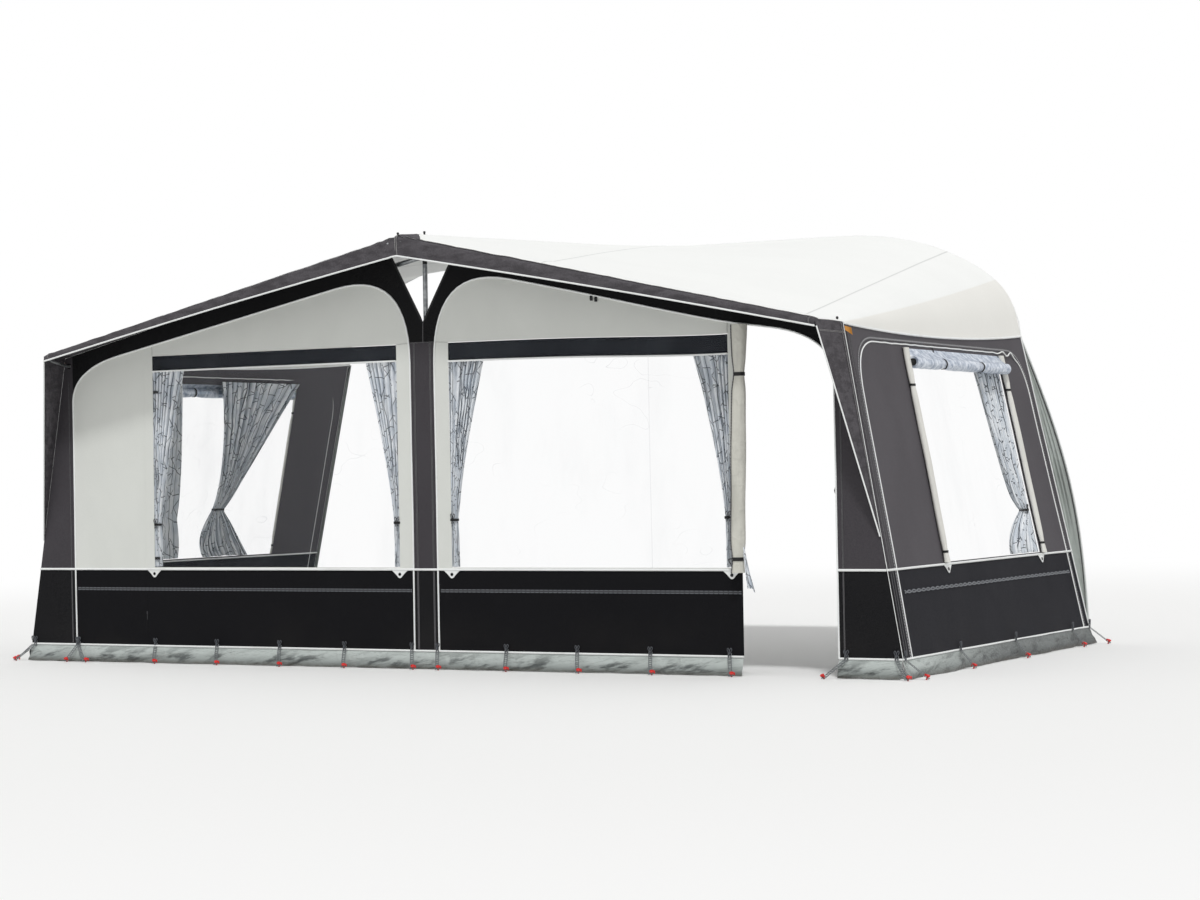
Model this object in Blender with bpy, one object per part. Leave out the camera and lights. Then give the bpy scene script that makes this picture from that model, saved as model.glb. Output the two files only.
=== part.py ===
# Caravan awning: fabric walls and roof on a telescopic pole frame, in metres, +Z up
import math

import bmesh
import bpy
from mathutils import Vector

# General
FIT_GAP = 0.0003
CLOTH_THICKNESS = 0.004
FOIL_THICKNESS = 0.002
CURTAIN_THICKNESS = 0.002
STRAP_THICKNESS = 0.003
MERGE_DISTANCE = 0.00001
FULL_TURN = 2.0 * math.pi

# Overall envelope
SIDE_WALL_LENGTH = 2.996
CANOPY_REACH = 0.26
EAVE_HALF_WIDTH = 2.67
HEM_FLARE = 0.31
HEM_HEIGHT = 0.105
SILL_HEIGHT = 0.578
EAVE_HEIGHT = 1.905
RIDGE_HEIGHT = 2.53

# Rail curve of the vehicle, which the roof's rear edge follows
RAIL_TOP_HEIGHT = 2.64
RAIL_FLAT_HALF_WIDTH = 1.35
RAIL_END_INSET = 0.106
RAIL_END_RISE = 0.035
RAIL_SEAM_ANGLE = math.radians(37.0)
RAIL_BEAD_RADIUS = 0.004
RAIL_FLAT_STEPS = 3
RAIL_ARC_STEPS = 12
RAIL_SIDE_STEPS = 12

# Roof
ROOF_CENTRE_SAG = 0.02
ROOF_EDGE_SAG = 0.045
ROOF_FLAT_SHARE = 0.62
ROOF_HALF_COLUMNS = 8
ROOF_ROWS = 8
ROOF_SIDE_COLUMNS = 4

# Canopy over the front wall
CANOPY_TIP_TAPER = 0.045
CANOPY_RIDGE_DROP = 0.03
CANOPY_TIP_RISE = 0.01
VALANCE_RIDGE_DROP = 0.11
VALANCE_TIP_DROP = 0.037
CANOPY_ROUNDING = 0.018
CANOPY_HALF_COLUMNS = 8
CHEEK_FOOT_HEIGHT = 0.74
CHEEK_ROW_SHARES = (0.0, 0.35, 0.7, 0.98)

# Front wall frame, bays and arches
COLUMN_HALF_WIDTH = 0.085
CORNER_STRIP_WIDTH = 0.055
DOOR_WIDTH = 0.565
ARCH_INNER_DROP = 0.258
ARCH_INNER_X = 0.45
ARCH_OUTER_RISE = 0.05
ARCH_DOOR_MARGIN = 0.05
INNER_CORNER_DROP = 0.125
INNER_CORNER_END_X = 0.60
OUTER_CORNER_WIDTH = 0.365
OUTER_CORNER_DROP = 0.285
CORNER_POINTS = 7
VENT_APEX_DROP = 0.514
VENT_TOP_DROP = 0.09
VENT_HALF_WIDTH = 0.222

# Front windows
WINDOW_INNER_X = 0.18
WINDOW_DOOR_MARGIN = 0.065
WINDOW_TOP_DROP = 0.018
WINDOW_BOTTOM = 0.590

# Stored blinds behind the front windows
BLIND_HEIGHT = 0.085
BLIND_DEPTH = 0.044
BLIND_END_MARGIN = 0.004

# Side walls
SIDE_ZIP_FRONT = 0.11
SIDE_ZIP_REAR = 2.92
SIDE_ZIP_DROP = 0.07
SIDE_ZIP_CORNER = 0.28
SIDE_WINDOW_FRONT = 0.88
SIDE_WINDOW_REAR = 2.43
SIDE_WINDOW_DROP = 0.07
SIDE_GRID_STEP = 0.42
SIDE_BLIND_DROP = 0.053
SIDE_BLIND_RADIUS = 0.028
SIDE_BLIND_OVERRUN = 0.02
SIDE_BLIND_WAIST = 0.006
SIDE_BLIND_STRAP_SHARES = (0.30, 0.72)
SIDE_BLIND_STRAP_REACH_SHARE = 0.04
SIDE_BLIND_ROWS = 16
SIDE_BLIND_SIDES = 10

# Draught strips between the side walls and the rail
DRAUGHT_BULGE = 0.10
DRAUGHT_UNDERLAP = 0.02
DRAUGHT_ROWS = 14
DRAUGHT_FOOT = 0.14

# Curtains
CURTAIN_BOTTOM = 0.615
CURTAIN_TIE_HEIGHT = 0.86
CURTAIN_TOP_WIDTH = 0.235
CURTAIN_TIE_WIDTH = 0.058
CURTAIN_BOTTOM_WIDTH = 0.055
CURTAIN_FOLD_DEPTH = 0.013
CURTAIN_TIE_FOLD_DEPTH = 0.003
CURTAIN_EDGE_MARGIN = 0.012
CURTAIN_FOLDS = 4
CURTAIN_STEPS_PER_FOLD = 5
CURTAIN_ROWS = 8
CURTAIN_EASE_SHARE = 1.3
SIDE_CURTAIN_WIDTHS = {"side_left": (0.85, 0.14, 0.48), "side_right": (0.38, 0.11, 0.42)}
SIDE_CURTAIN_TIE_OFFSETS = {"side_left": 0.62, "side_right": 0.14}
SIDE_CURTAIN_FOOT_OFFSETS = {"side_left": 0.32, "side_right": 0.0}
SIDE_CURTAIN_RISE = 0.02
SIDE_CURTAIN_GAP = 0.0006

# Rolled door panel
DOOR_ROLL_RISE = 0.01
DOOR_ROLL_BOTTOM = 0.565
DOOR_ROLL_RADIUS = 0.038
DOOR_ROLL_WAIST = 0.007
DOOR_ROLL_LOBE = 0.003
DOOR_ROLL_LOBES = 3
DOOR_ROLL_LOBE_TWIST = 2.0
DOOR_ROLL_LEAN = 0.035
DOOR_ROLL_OFFSET = 0.03
DOOR_ROLL_ROWS = 14
DOOR_ROLL_SIDES = 14
DOOR_ROLL_STRAP_SHARES = (0.03, 0.79)
DOOR_ROLL_STRAP_REACH_SHARE = 0.05

# Mud flaps
FLAP_SPLAY = 0.04

# Peg straps
TAPE_HEIGHT = 0.014
TAPE_THICKNESS = 0.003
LADDER_WIDTH = 0.014
LADDER_REACH = 0.09
LADDER_RISE = 0.004
LADDER_DROP = 0.002
PEG_RADIUS = 0.0035
PEG_LENGTH = 0.055
PEG_HEAD_RADIUS = 0.012
PEG_HEAD_HEIGHT = 0.008
PEG_LEAN = 0.012
PEG_SIDES = 4
GUY_REACH = 0.14
FRONT_LADDER_SHARES = (0.004, 0.073, 0.195, 0.289, 0.382, 0.476, 0.571, 0.606, 0.699, 0.792, 0.885, 0.983)
DOOR_LADDER_SHARES = (0.12, 0.95)
SIDE_LADDER_SHARES = (0.006, 0.27, 0.56, 0.89, 0.994)

# Poles
POLE_RADIUS = 0.014
POLE_WALL = 0.0012
TELESCOPE_RADIUS = 0.0124
SPIGOT_RADIUS = 0.0122
SPIGOT_LENGTH = 0.055
VERANDA_RADIUS = 0.009
VERANDA_BEND_RADIUS = 0.05
VERANDA_ENTRY = 0.045
POLE_SIDES = 12
VERANDA_SIDES = 8
BEAD_SIDES = 6
BEND_STEPS = 6
KNOB_SIDES = 20
FRAME_SETBACK = 0.046
CORNER_LEG_INSET = 0.03
CORNER_HUB_DROP = 0.053
CENTRE_HUB_DROP = 0.125
HUB_RADIUS = 0.020
HUB_HALF_HEIGHT = 0.022
SOCKET_RADIUS = 0.0140
SOCKET_LENGTH = 0.045
ROOF_POLE_REAR_DROP = 0.034
ROOF_POLE_REAR_INSET = 0.016
RAIL_HOOK_LENGTH = 0.030
RAIL_HOOK_RADIUS = 0.006
RAIL_HOOK_CLEARANCE = 0.012
PIN_RADIUS = 0.003
CENTRE_ARM_RADIUS = 0.009
CENTRE_ARM_DROP = 0.030
EYELET_RADIUS = 0.013
EYELET_SIDES = 12

# Telescopic legs
LEG_SPLIT_HEIGHT = 0.98
LEG_OVERLAP = 0.30
CLAMP_RADIUS = 0.019
CLAMP_HEIGHT = 0.048
KNOB_RADIUS = 0.017
KNOB_LENGTH = 0.016
KNOB_LOBE = 0.002
KNOB_LOBES = 5
KNOB_STEM_RADIUS = 0.005
KNOB_STEM_LENGTH = 0.014
FOOT_RADIUS = 0.034
FOOT_PLATE = 0.006
FOOT_HEIGHT = 0.034
FOOT_NECK_RADIUS = 0.017

# Zip slider of the closed door
SLIDER_WIDTH = 0.010
SLIDER_LENGTH = 0.018
SLIDER_THICKNESS = 0.004
SLIDER_HEIGHT = 0.30
PULL_WIDTH = 0.005
PULL_LENGTH = 0.034
PULL_THICKNESS = 0.002

# Places that follow from the sizes above
WALL_DEPTH = SIDE_WALL_LENGTH + CLOTH_THICKNESS
HEM_HALF_WIDTH = EAVE_HALF_WIDTH + HEM_FLARE
RAIL_END_HALF_WIDTH = EAVE_HALF_WIDTH - RAIL_END_INSET
ARCH_OUTER_HEIGHT = EAVE_HEIGHT + ARCH_OUTER_RISE
ARCH_INNER_HEIGHT = RIDGE_HEIGHT - ARCH_INNER_DROP
WINDOW_TOP = EAVE_HEIGHT - WINDOW_TOP_DROP
SIDE_ZIP_TOP = EAVE_HEIGHT - SIDE_ZIP_DROP
SIDE_WINDOW_TOP = SIDE_ZIP_TOP - SIDE_WINDOW_DROP
SIDE_BLIND_HEIGHT = SIDE_WINDOW_TOP - SIDE_BLIND_DROP
SIDE_CURTAIN_TOP = SIDE_WINDOW_TOP + SIDE_CURTAIN_RISE
CANOPY_FRONT_RIDGE = RIDGE_HEIGHT - CANOPY_RIDGE_DROP
CANOPY_FRONT_TIP = EAVE_HEIGHT + CANOPY_TIP_RISE
VALANCE_RIDGE = CANOPY_FRONT_RIDGE - VALANCE_RIDGE_DROP
VALANCE_TIP = CANOPY_FRONT_TIP - VALANCE_TIP_DROP
VENT_APEX_HEIGHT = RIDGE_HEIGHT - VENT_APEX_DROP
VENT_TOP_HEIGHT = RIDGE_HEIGHT - VENT_TOP_DROP
INNER_CORNER_START = EAVE_HEIGHT - INNER_CORNER_DROP
OUTER_CORNER_END = EAVE_HEIGHT - OUTER_CORNER_DROP
DOOR_ROLL_TOP = EAVE_HEIGHT + DOOR_ROLL_RISE
RAIL_END_HEIGHT = EAVE_HEIGHT + RAIL_END_RISE
CANOPY_FRONT_HALF_WIDTH = EAVE_HALF_WIDTH - CANOPY_TIP_TAPER
BAY_OUTER_HALF_WIDTH = EAVE_HALF_WIDTH - CORNER_STRIP_WIDTH
DOOR_ZIP_HALF_WIDTH = BAY_OUTER_HALF_WIDTH - DOOR_WIDTH
ARCH_OUTER_X = DOOR_ZIP_HALF_WIDTH - ARCH_DOOR_MARGIN
OUTER_CORNER_START_X = BAY_OUTER_HALF_WIDTH - OUTER_CORNER_WIDTH
WINDOW_OUTER_X = DOOR_ZIP_HALF_WIDTH - WINDOW_DOOR_MARGIN
CORNER_LEG_X = EAVE_HALF_WIDTH - CORNER_LEG_INSET
CORNER_HUB_HEIGHT = EAVE_HEIGHT - CORNER_HUB_DROP
HALF_CLOTH = CLOTH_THICKNESS / 2
FRONT_PLANE_Y = (CANOPY_REACH + HALF_CLOTH - WALL_DEPTH - RAIL_BEAD_RADIUS) / 2
ARCH_SLOPE = (ARCH_INNER_HEIGHT - ARCH_OUTER_HEIGHT) / (ARCH_OUTER_X - ARCH_INNER_X)
GABLE_SLOPE = (RIDGE_HEIGHT - EAVE_HEIGHT) / EAVE_HALF_WIDTH
SIDE_SLOPE = (HEM_HALF_WIDTH - EAVE_HALF_WIDTH) / (EAVE_HEIGHT - HEM_HEIGHT)
REAR_SLOPE = (HEM_HALF_WIDTH - RAIL_END_HALF_WIDTH) / (RAIL_END_HEIGHT - HEM_HEIGHT)
SIDE_WALL_START = HALF_CLOTH + FIT_GAP
SIDE_WALL_END = SIDE_WALL_LENGTH - FIT_GAP
POLE_BORE = POLE_RADIUS - POLE_WALL
CENTRE_HUB_HEIGHT = RIDGE_HEIGHT - CENTRE_HUB_DROP

COLOURS = {
    "roof_cloth": ((0.88, 0.89, 0.87, 1.0), 0.75, 0.0),
    "panel_cloth": ((0.70, 0.71, 0.69, 1.0), 0.75, 0.0),
    "dark_cloth": ((0.085, 0.080, 0.085, 1.0), 0.8, 0.0),
    "clear_foil": ((0.62, 0.66, 0.68, 0.35), 0.12, 0.0),
    "curtain_cloth": ((0.72, 0.75, 0.78, 1.0), 0.85, 0.0),
    "silver_foil": ((0.62, 0.66, 0.70, 1.0), 0.35, 0.2),
    "draught_cloth": ((0.55, 0.59, 0.57, 1.0), 0.8, 0.0),
    "flap_cloth": ((0.36, 0.39, 0.38, 1.0), 0.55, 0.0),
    "white_trim": ((0.90, 0.90, 0.90, 1.0), 0.5, 0.0),
    "pole_steel": ((0.55, 0.56, 0.57, 1.0), 0.35, 0.9),
    "dark_plastic": ((0.03, 0.03, 0.03, 1.0), 0.5, 0.0),
    "zip_metal": ((0.45, 0.45, 0.46, 1.0), 0.3, 1.0),
}


# Scene and material helpers
def clear_scene():
    for item in list(bpy.data.objects):
        bpy.data.objects.remove(item, do_unlink=True)


def material(name):
    found = bpy.data.materials.get(name)
    if found:
        return found
    colour, roughness, metallic = COLOURS[name]
    made = bpy.data.materials.new(name)
    made.use_nodes = True
    shader = made.node_tree.nodes["Principled BSDF"]
    shader.inputs["Base Color"].default_value = colour
    shader.inputs["Alpha"].default_value = colour[3]
    shader.inputs["Roughness"].default_value = roughness
    shader.inputs["Metallic"].default_value = metallic
    return made


def add_object(name, bm, finish, place=None, direction=None, smooth=False):
    bmesh.ops.recalc_face_normals(bm, faces=bm.faces)
    mesh = bpy.data.meshes.new(name)
    bm.to_mesh(mesh)
    bm.free()
    mesh.materials.append(material(finish))
    if smooth:
        mesh.shade_smooth()
        mesh.set_sharp_from_angle(angle=math.radians(40.0))
    made = bpy.data.objects.new(name, mesh)
    bpy.context.scene.collection.objects.link(made)
    if place is not None:
        made.location = place
    if direction is not None:
        made.rotation_mode = "QUATERNION"
        made.rotation_quaternion = Vector(direction).to_track_quat("Z", "Y")
    made.parent = awning_origin
    return made


def thicken(made, thickness):
    solid = made.modifiers.new("cloth_thickness", "SOLIDIFY")
    solid.thickness = thickness
    solid.offset = 0.0
    solid.use_even_offset = False


def hide_tool(tool):
    tool.hide_render = True
    tool.display_type = "WIRE"


def join_solid(base, tool):
    union = base.modifiers.new(tool.name, "BOOLEAN")
    union.operation = "UNION"
    union.solver = "EXACT"
    union.object = tool
    hide_tool(tool)


# Curves and surfaces that several pieces share
def gable_height(x):
    return RIDGE_HEIGHT - GABLE_SLOPE * abs(x)


def arch_height(x):
    return ARCH_INNER_HEIGHT - ARCH_SLOPE * (abs(x) - ARCH_INNER_X)


def front_edge_x(z):
    return HEM_HALF_WIDTH - SIDE_SLOPE * (z - HEM_HEIGHT)


def rail_point(angle):
    x = RAIL_FLAT_HALF_WIDTH + (RAIL_END_HALF_WIDTH - RAIL_FLAT_HALF_WIDTH) * math.sin(angle)
    z = RAIL_END_HEIGHT + (RAIL_TOP_HEIGHT - RAIL_END_HEIGHT) * math.cos(angle)
    return x, z


def rail_from_share(share):
    if share <= ROOF_FLAT_SHARE:
        return RAIL_FLAT_HALF_WIDTH * share / ROOF_FLAT_SHARE, RAIL_TOP_HEIGHT
    return rail_point(RAIL_SEAM_ANGLE * (share - ROOF_FLAT_SHARE) / (1.0 - ROOF_FLAT_SHARE))


def side_x(y, z):
    slope = SIDE_SLOPE + (REAR_SLOPE - SIDE_SLOPE) * y / WALL_DEPTH
    return HEM_HALF_WIDTH - slope * (z - HEM_HEIGHT)


def eave_point(share):
    sag = ROOF_EDGE_SAG * 4.0 * share * (1.0 - share)
    z = EAVE_HEIGHT + (RAIL_END_HEIGHT - EAVE_HEIGHT) * share - sag
    return side_x(WALL_DEPTH * share, z), z


def side_place(side, depth_out=0.0):
    def place(y, z):
        return Vector((side * (side_x(y, z) + depth_out), y, z))
    return place


def front_place(depth_in=0.0):
    def place(x, z):
        return Vector((x, depth_in, z))
    return place


def bezier(start, control, end, count):
    points = []
    for step in range(count + 1):
        t = step / count
        a, b, c = (1 - t) ** 2, 2 * t * (1 - t), t ** 2
        points.append((a * start[0] + b * control[0] + c * end[0],
                       a * start[1] + b * control[1] + c * end[1]))
    return points


def inner_corner():
    control = (COLUMN_HALF_WIDTH, arch_height(COLUMN_HALF_WIDTH))
    end = (INNER_CORNER_END_X, arch_height(INNER_CORNER_END_X))
    return bezier((COLUMN_HALF_WIDTH, INNER_CORNER_START), control, end, CORNER_POINTS)


def outer_corner():
    control = (BAY_OUTER_HALF_WIDTH, arch_height(BAY_OUTER_HALF_WIDTH))
    start = (OUTER_CORNER_START_X, arch_height(OUTER_CORNER_START_X))
    return bezier(start, control, (BAY_OUTER_HALF_WIDTH, OUTER_CORNER_END), CORNER_POINTS)


def mirrored(points):
    return [(-x, z) for x, z in reversed(points)]


# Mesh builders
def cloth_sheet(name, outline, holes, place, finish, thickness=CLOTH_THICKNESS, cuts=None):
    bm = bmesh.new()
    edges = []
    for loop in [outline] + list(holes):
        verts = [bm.verts.new((u, v, 0.0)) for u, v in loop]
        for index, vert in enumerate(verts):
            edges.append(bm.edges.new((vert, verts[(index + 1) % len(verts)])))
    bmesh.ops.triangle_fill(bm, edges=edges, use_beauty=True, use_dissolve=False)
    for axis, positions in (cuts or {}).items():
        normal = (1.0, 0.0, 0.0) if axis == "u" else (0.0, 1.0, 0.0)
        for position in positions:
            geometry = list(bm.verts) + list(bm.edges) + list(bm.faces)
            at = (position, 0.0, 0.0) if axis == "u" else (0.0, position, 0.0)
            bmesh.ops.bisect_plane(bm, geom=geometry, dist=MERGE_DISTANCE, plane_co=at, plane_no=normal)
    for vert in bm.verts:
        vert.co = place(vert.co.x, vert.co.y)
    made = add_object(name, bm, finish)
    thicken(made, thickness)
    return made


def grid_sheet(name, rows, finish, thickness):
    bm = bmesh.new()
    made_rows = []
    for row in rows:
        made_rows.append([bm.verts.new(point) for point in row])
    for lower, upper in zip(made_rows, made_rows[1:]):
        for index in range(len(lower) - 1):
            bm.faces.new((lower[index], lower[index + 1], upper[index + 1], upper[index]))
    bmesh.ops.remove_doubles(bm, verts=bm.verts, dist=MERGE_DISTANCE)
    bmesh.ops.triangulate(bm, faces=bm.faces)
    made = add_object(name, bm, finish)
    thicken(made, thickness)
    return made


def loft(name, sections, finish, smooth=True):
    bm = bmesh.new()
    rings = [[bm.verts.new(point) for point in section] for section in sections]
    count = len(rings[0])
    for lower, upper in zip(rings, rings[1:]):
        for index in range(count):
            other = (index + 1) % count
            bm.faces.new((lower[index], lower[other], upper[other], upper[index]))
    bm.faces.new(list(reversed(rings[0])))
    bm.faces.new(rings[-1])
    return add_object(name, bm, finish, smooth=smooth)


def turned(name, profile, sides, finish, place, direction=(0.0, 0.0, 1.0), lobe=0.0, lobes=0, closed=True):
    bm = bmesh.new()
    rings = []
    for radius, height in profile:
        ring = []
        for step in range(sides):
            angle = FULL_TURN * step / sides
            swell = radius + (lobe * math.cos(lobes * angle) if radius > KNOB_STEM_RADIUS else 0.0)
            ring.append(bm.verts.new((swell * math.cos(angle), swell * math.sin(angle), height)))
        rings.append(ring)
    pairs = list(zip(rings, rings[1:]))
    if not closed:
        pairs.append((rings[-1], rings[0]))
    for lower, upper in pairs:
        for index in range(sides):
            other = (index + 1) % sides
            bm.faces.new((lower[index], lower[other], upper[other], upper[index]))
    if closed:
        bm.faces.new(list(reversed(rings[0])))
        bm.faces.new(rings[-1])
    return add_object(name, bm, finish, place, direction, smooth=True)


def tube(name, start, end, outer, bore, finish, sides=POLE_SIDES):
    length = (Vector(end) - Vector(start)).length
    profile = [(outer, 0.0), (outer, length), (bore, length), (bore, 0.0)]
    return turned(name, profile, sides, finish, start, Vector(end) - Vector(start), closed=False)


def rod(name, start, end, radius, finish, sides=POLE_SIDES):
    length = (Vector(end) - Vector(start)).length
    return turned(name, [(radius, 0.0), (radius, length)], sides, finish, start, Vector(end) - Vector(start))


def swept(name, points, radius, sides, finish, normal):
    path = [Vector(point) for point in points]
    sections = []
    for index, point in enumerate(path):
        before = path[max(index - 1, 0)]
        after = path[min(index + 1, len(path) - 1)]
        run = (after - before).normalized()
        normal = (normal - run * normal.dot(run)).normalized()
        other = run.cross(normal)
        ring = []
        for step in range(sides):
            angle = FULL_TURN * step / sides
            ring.append(point + normal * radius * math.cos(angle) + other * radius * math.sin(angle))
        sections.append(ring)
    return loft(name, sections, finish)


def box(name, low, high, finish, place=None):
    sections = []
    for z in (low[2], high[2]):
        sections.append([(low[0], low[1], z), (high[0], low[1], z),
                         (high[0], high[1], z), (low[0], high[1], z)])
    made = loft(name, sections, finish, smooth=False)
    made.location = place or (0.0, 0.0, 0.0)
    return made


def along(start, end, distance):
    return Vector(start) + (Vector(end) - Vector(start)).normalized() * distance


# Roof, canopy and cheeks
def make_roof():
    rows = []
    front_y = SIDE_WALL_START
    rear_y = WALL_DEPTH - RAIL_BEAD_RADIUS - FIT_GAP * 2.0
    for row in range(ROOF_ROWS + 1):
        v = row / ROOF_ROWS
        y = front_y + (rear_y - front_y) * v
        dip = 4.0 * v * (1.0 - v)
        half = []
        for column in range(ROOF_HALF_COLUMNS + 1):
            s = column / ROOF_HALF_COLUMNS
            rail_x, rail_z = rail_from_share(s)
            x = EAVE_HALF_WIDTH * s * (1.0 - v) + rail_x * v
            z = gable_height(EAVE_HALF_WIDTH * s) * (1.0 - v) + rail_z * v
            half.append((x, z - ROOF_CENTRE_SAG * dip * math.sin(math.pi * s)))
        for column in range(1, ROOF_SIDE_COLUMNS + 1):
            s = column / ROOF_SIDE_COLUMNS
            rail_x, rail_z = rail_point(RAIL_SEAM_ANGLE + (math.pi / 2 - RAIL_SEAM_ANGLE) * s)
            x = EAVE_HALF_WIDTH * (1.0 - v) + rail_x * v
            z = EAVE_HEIGHT * (1.0 - v) + rail_z * v - ROOF_EDGE_SAG * dip * s
            half.append((x, z))
        left = [(-x, y, z) for x, z in reversed(half[1:])]
        rows.append(left + [(x, y, z) for x, z in half])
    return grid_sheet("roof_panel", rows, "roof_cloth", CLOTH_THICKNESS)


def underside(cloth, x, y, reach):
    solid = cloth.evaluated_get(bpy.context.evaluated_depsgraph_get())
    heights = []
    for shift_x, shift_y in ((-reach, 0.0), (reach, 0.0), (0.0, -reach), (0.0, reach)):
        below = Vector((x + shift_x, y + shift_y, SILL_HEIGHT))
        found, point, _, _ = solid.ray_cast(below, Vector((0.0, 0.0, 1.0)))
        if found:
            heights.append(point.z)
    return min(heights) if heights else gable_height(x) - CLOTH_THICKNESS


def canopy_front_height(share):
    return CANOPY_FRONT_RIDGE + (CANOPY_FRONT_TIP - CANOPY_FRONT_RIDGE) * share


def valance_height(share):
    return VALANCE_RIDGE + (VALANCE_TIP - VALANCE_RIDGE) * share


def make_canopy():
    rear_y = -FIT_GAP
    front_y = -CANOPY_REACH
    rows = []
    columns = [index / CANOPY_HALF_COLUMNS for index in range(-CANOPY_HALF_COLUMNS, CANOPY_HALF_COLUMNS + 1)]
    profiles = (
        lambda s: (EAVE_HALF_WIDTH, rear_y, gable_height(EAVE_HALF_WIDTH * s)),
        lambda s: (CANOPY_FRONT_HALF_WIDTH, front_y + CANOPY_ROUNDING, canopy_front_height(s)),
        lambda s: (CANOPY_FRONT_HALF_WIDTH, front_y, canopy_front_height(s) - CANOPY_ROUNDING),
        lambda s: (CANOPY_FRONT_HALF_WIDTH, front_y, valance_height(s)),
    )
    for profile in profiles:
        row = []
        for column in columns:
            half_width, y, z = profile(abs(column))
            row.append((half_width * column, y, z))
        rows.append(row)
    grid_sheet("front_canopy", rows, "dark_cloth", CLOTH_THICKNESS)


def make_cheek(side, suffix):
    drop = CLOTH_THICKNESS + FIT_GAP
    rear_y = -HALF_CLOTH - FIT_GAP - HALF_CLOTH * (EAVE_HALF_WIDTH - CANOPY_FRONT_HALF_WIDTH) / CANOPY_REACH
    front_y = -CANOPY_REACH + CLOTH_THICKNESS
    tip_z = CANOPY_FRONT_TIP - CANOPY_ROUNDING - drop
    eave_z = EAVE_HEIGHT - CLOTH_THICKNESS - drop
    foot_x = front_edge_x(CHEEK_FOOT_HEIGHT)
    rows = []
    for share in CHEEK_ROW_SHARES:
        rear_z = eave_z + (CHEEK_FOOT_HEIGHT - eave_z) * share
        front_z = tip_z + (CHEEK_FOOT_HEIGHT - tip_z) * share
        front_x = CANOPY_FRONT_HALF_WIDTH + (foot_x - CANOPY_FRONT_HALF_WIDTH) * share
        front = (side * front_x, front_y + (rear_y - front_y) * share, front_z)
        rear = (side * front_edge_x(rear_z), rear_y, rear_z)
        rows.append([front, rear])
    grid_sheet("canopy_cheek_" + suffix, rows, "dark_cloth", CLOTH_THICKNESS)


# Front wall
def make_front_frame():
    half = [(COLUMN_HALF_WIDTH, HEM_HEIGHT)] + inner_corner() + outer_corner()
    half += [(BAY_OUTER_HALF_WIDTH, HEM_HEIGHT), (HEM_HALF_WIDTH, HEM_HEIGHT)]
    top_gap = HALF_CLOTH + FIT_GAP * 3.0
    half += [(front_edge_x(EAVE_HEIGHT - top_gap), EAVE_HEIGHT - top_gap)]
    outline = half + [(0.0, RIDGE_HEIGHT - top_gap)] + mirrored(half)
    vent = [(-VENT_HALF_WIDTH, VENT_TOP_HEIGHT), (0.0, VENT_APEX_HEIGHT), (VENT_HALF_WIDTH, VENT_TOP_HEIGHT)]
    holes = [vent]
    for side in (-1.0, 1.0):
        eyelet = []
        for step in range(EYELET_SIDES):
            angle = FULL_TURN * step / EYELET_SIDES
            eyelet.append((side * CORNER_LEG_X + EYELET_RADIUS * math.cos(angle),
                           CORNER_HUB_HEIGHT + EYELET_RADIUS * math.sin(angle)))
        holes.append(eyelet)
    cloth_sheet("front_wall_frame", outline, holes, front_place(), "dark_cloth")


def inset_line(points, gap):
    moved = []
    for index, (x, z) in enumerate(points):
        before = points[max(index - 1, 0)]
        after = points[min(index + 1, len(points) - 1)]
        run = Vector((after[0] - before[0], after[1] - before[1])).normalized()
        moved.append((x + run.y * gap, z - run.x * gap))
    return moved


def make_front_panel(side, suffix):
    gap = FIT_GAP
    inner = inset_line(inner_corner(), gap)
    seam_x = DOOR_ZIP_HALF_WIDTH - gap / 2
    outline = [(COLUMN_HALF_WIDTH + gap, HEM_HEIGHT)] + inner
    outline += [(seam_x, arch_height(seam_x) - gap), (seam_x, HEM_HEIGHT)]
    window = [(WINDOW_INNER_X, WINDOW_BOTTOM), (WINDOW_OUTER_X, WINDOW_BOTTOM),
              (WINDOW_OUTER_X, WINDOW_TOP), (WINDOW_INNER_X, WINDOW_TOP)]
    outline = [(side * x, z) for x, z in outline]
    hole = [(side * x, z) for x, z in window]
    cloth_sheet("front_panel_" + suffix, outline, [hole], front_place(), "panel_cloth")


def make_front_window(side, suffix):
    gap = FIT_GAP
    outline = [(WINDOW_INNER_X + gap, WINDOW_BOTTOM + gap), (WINDOW_OUTER_X - gap, WINDOW_BOTTOM + gap),
               (WINDOW_OUTER_X - gap, WINDOW_TOP - gap), (WINDOW_INNER_X + gap, WINDOW_TOP - gap)]
    outline = [(side * x, z) for x, z in outline]
    cloth_sheet("front_window_" + suffix, outline, [], front_place(), "clear_foil", FOIL_THICKNESS)


def make_closed_door():
    gap = FIT_GAP
    seam_x = DOOR_ZIP_HALF_WIDTH + gap / 2
    outer = inset_line(outer_corner(), gap)
    outline = [(seam_x, HEM_HEIGHT), (seam_x, arch_height(seam_x) - gap)] + outer
    outline += [(BAY_OUTER_HALF_WIDTH - gap, HEM_HEIGHT)]
    outline = [(-x, z) for x, z in outline]
    cloth_sheet("door_panel_left", outline, [], front_place(), "panel_cloth")


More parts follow.
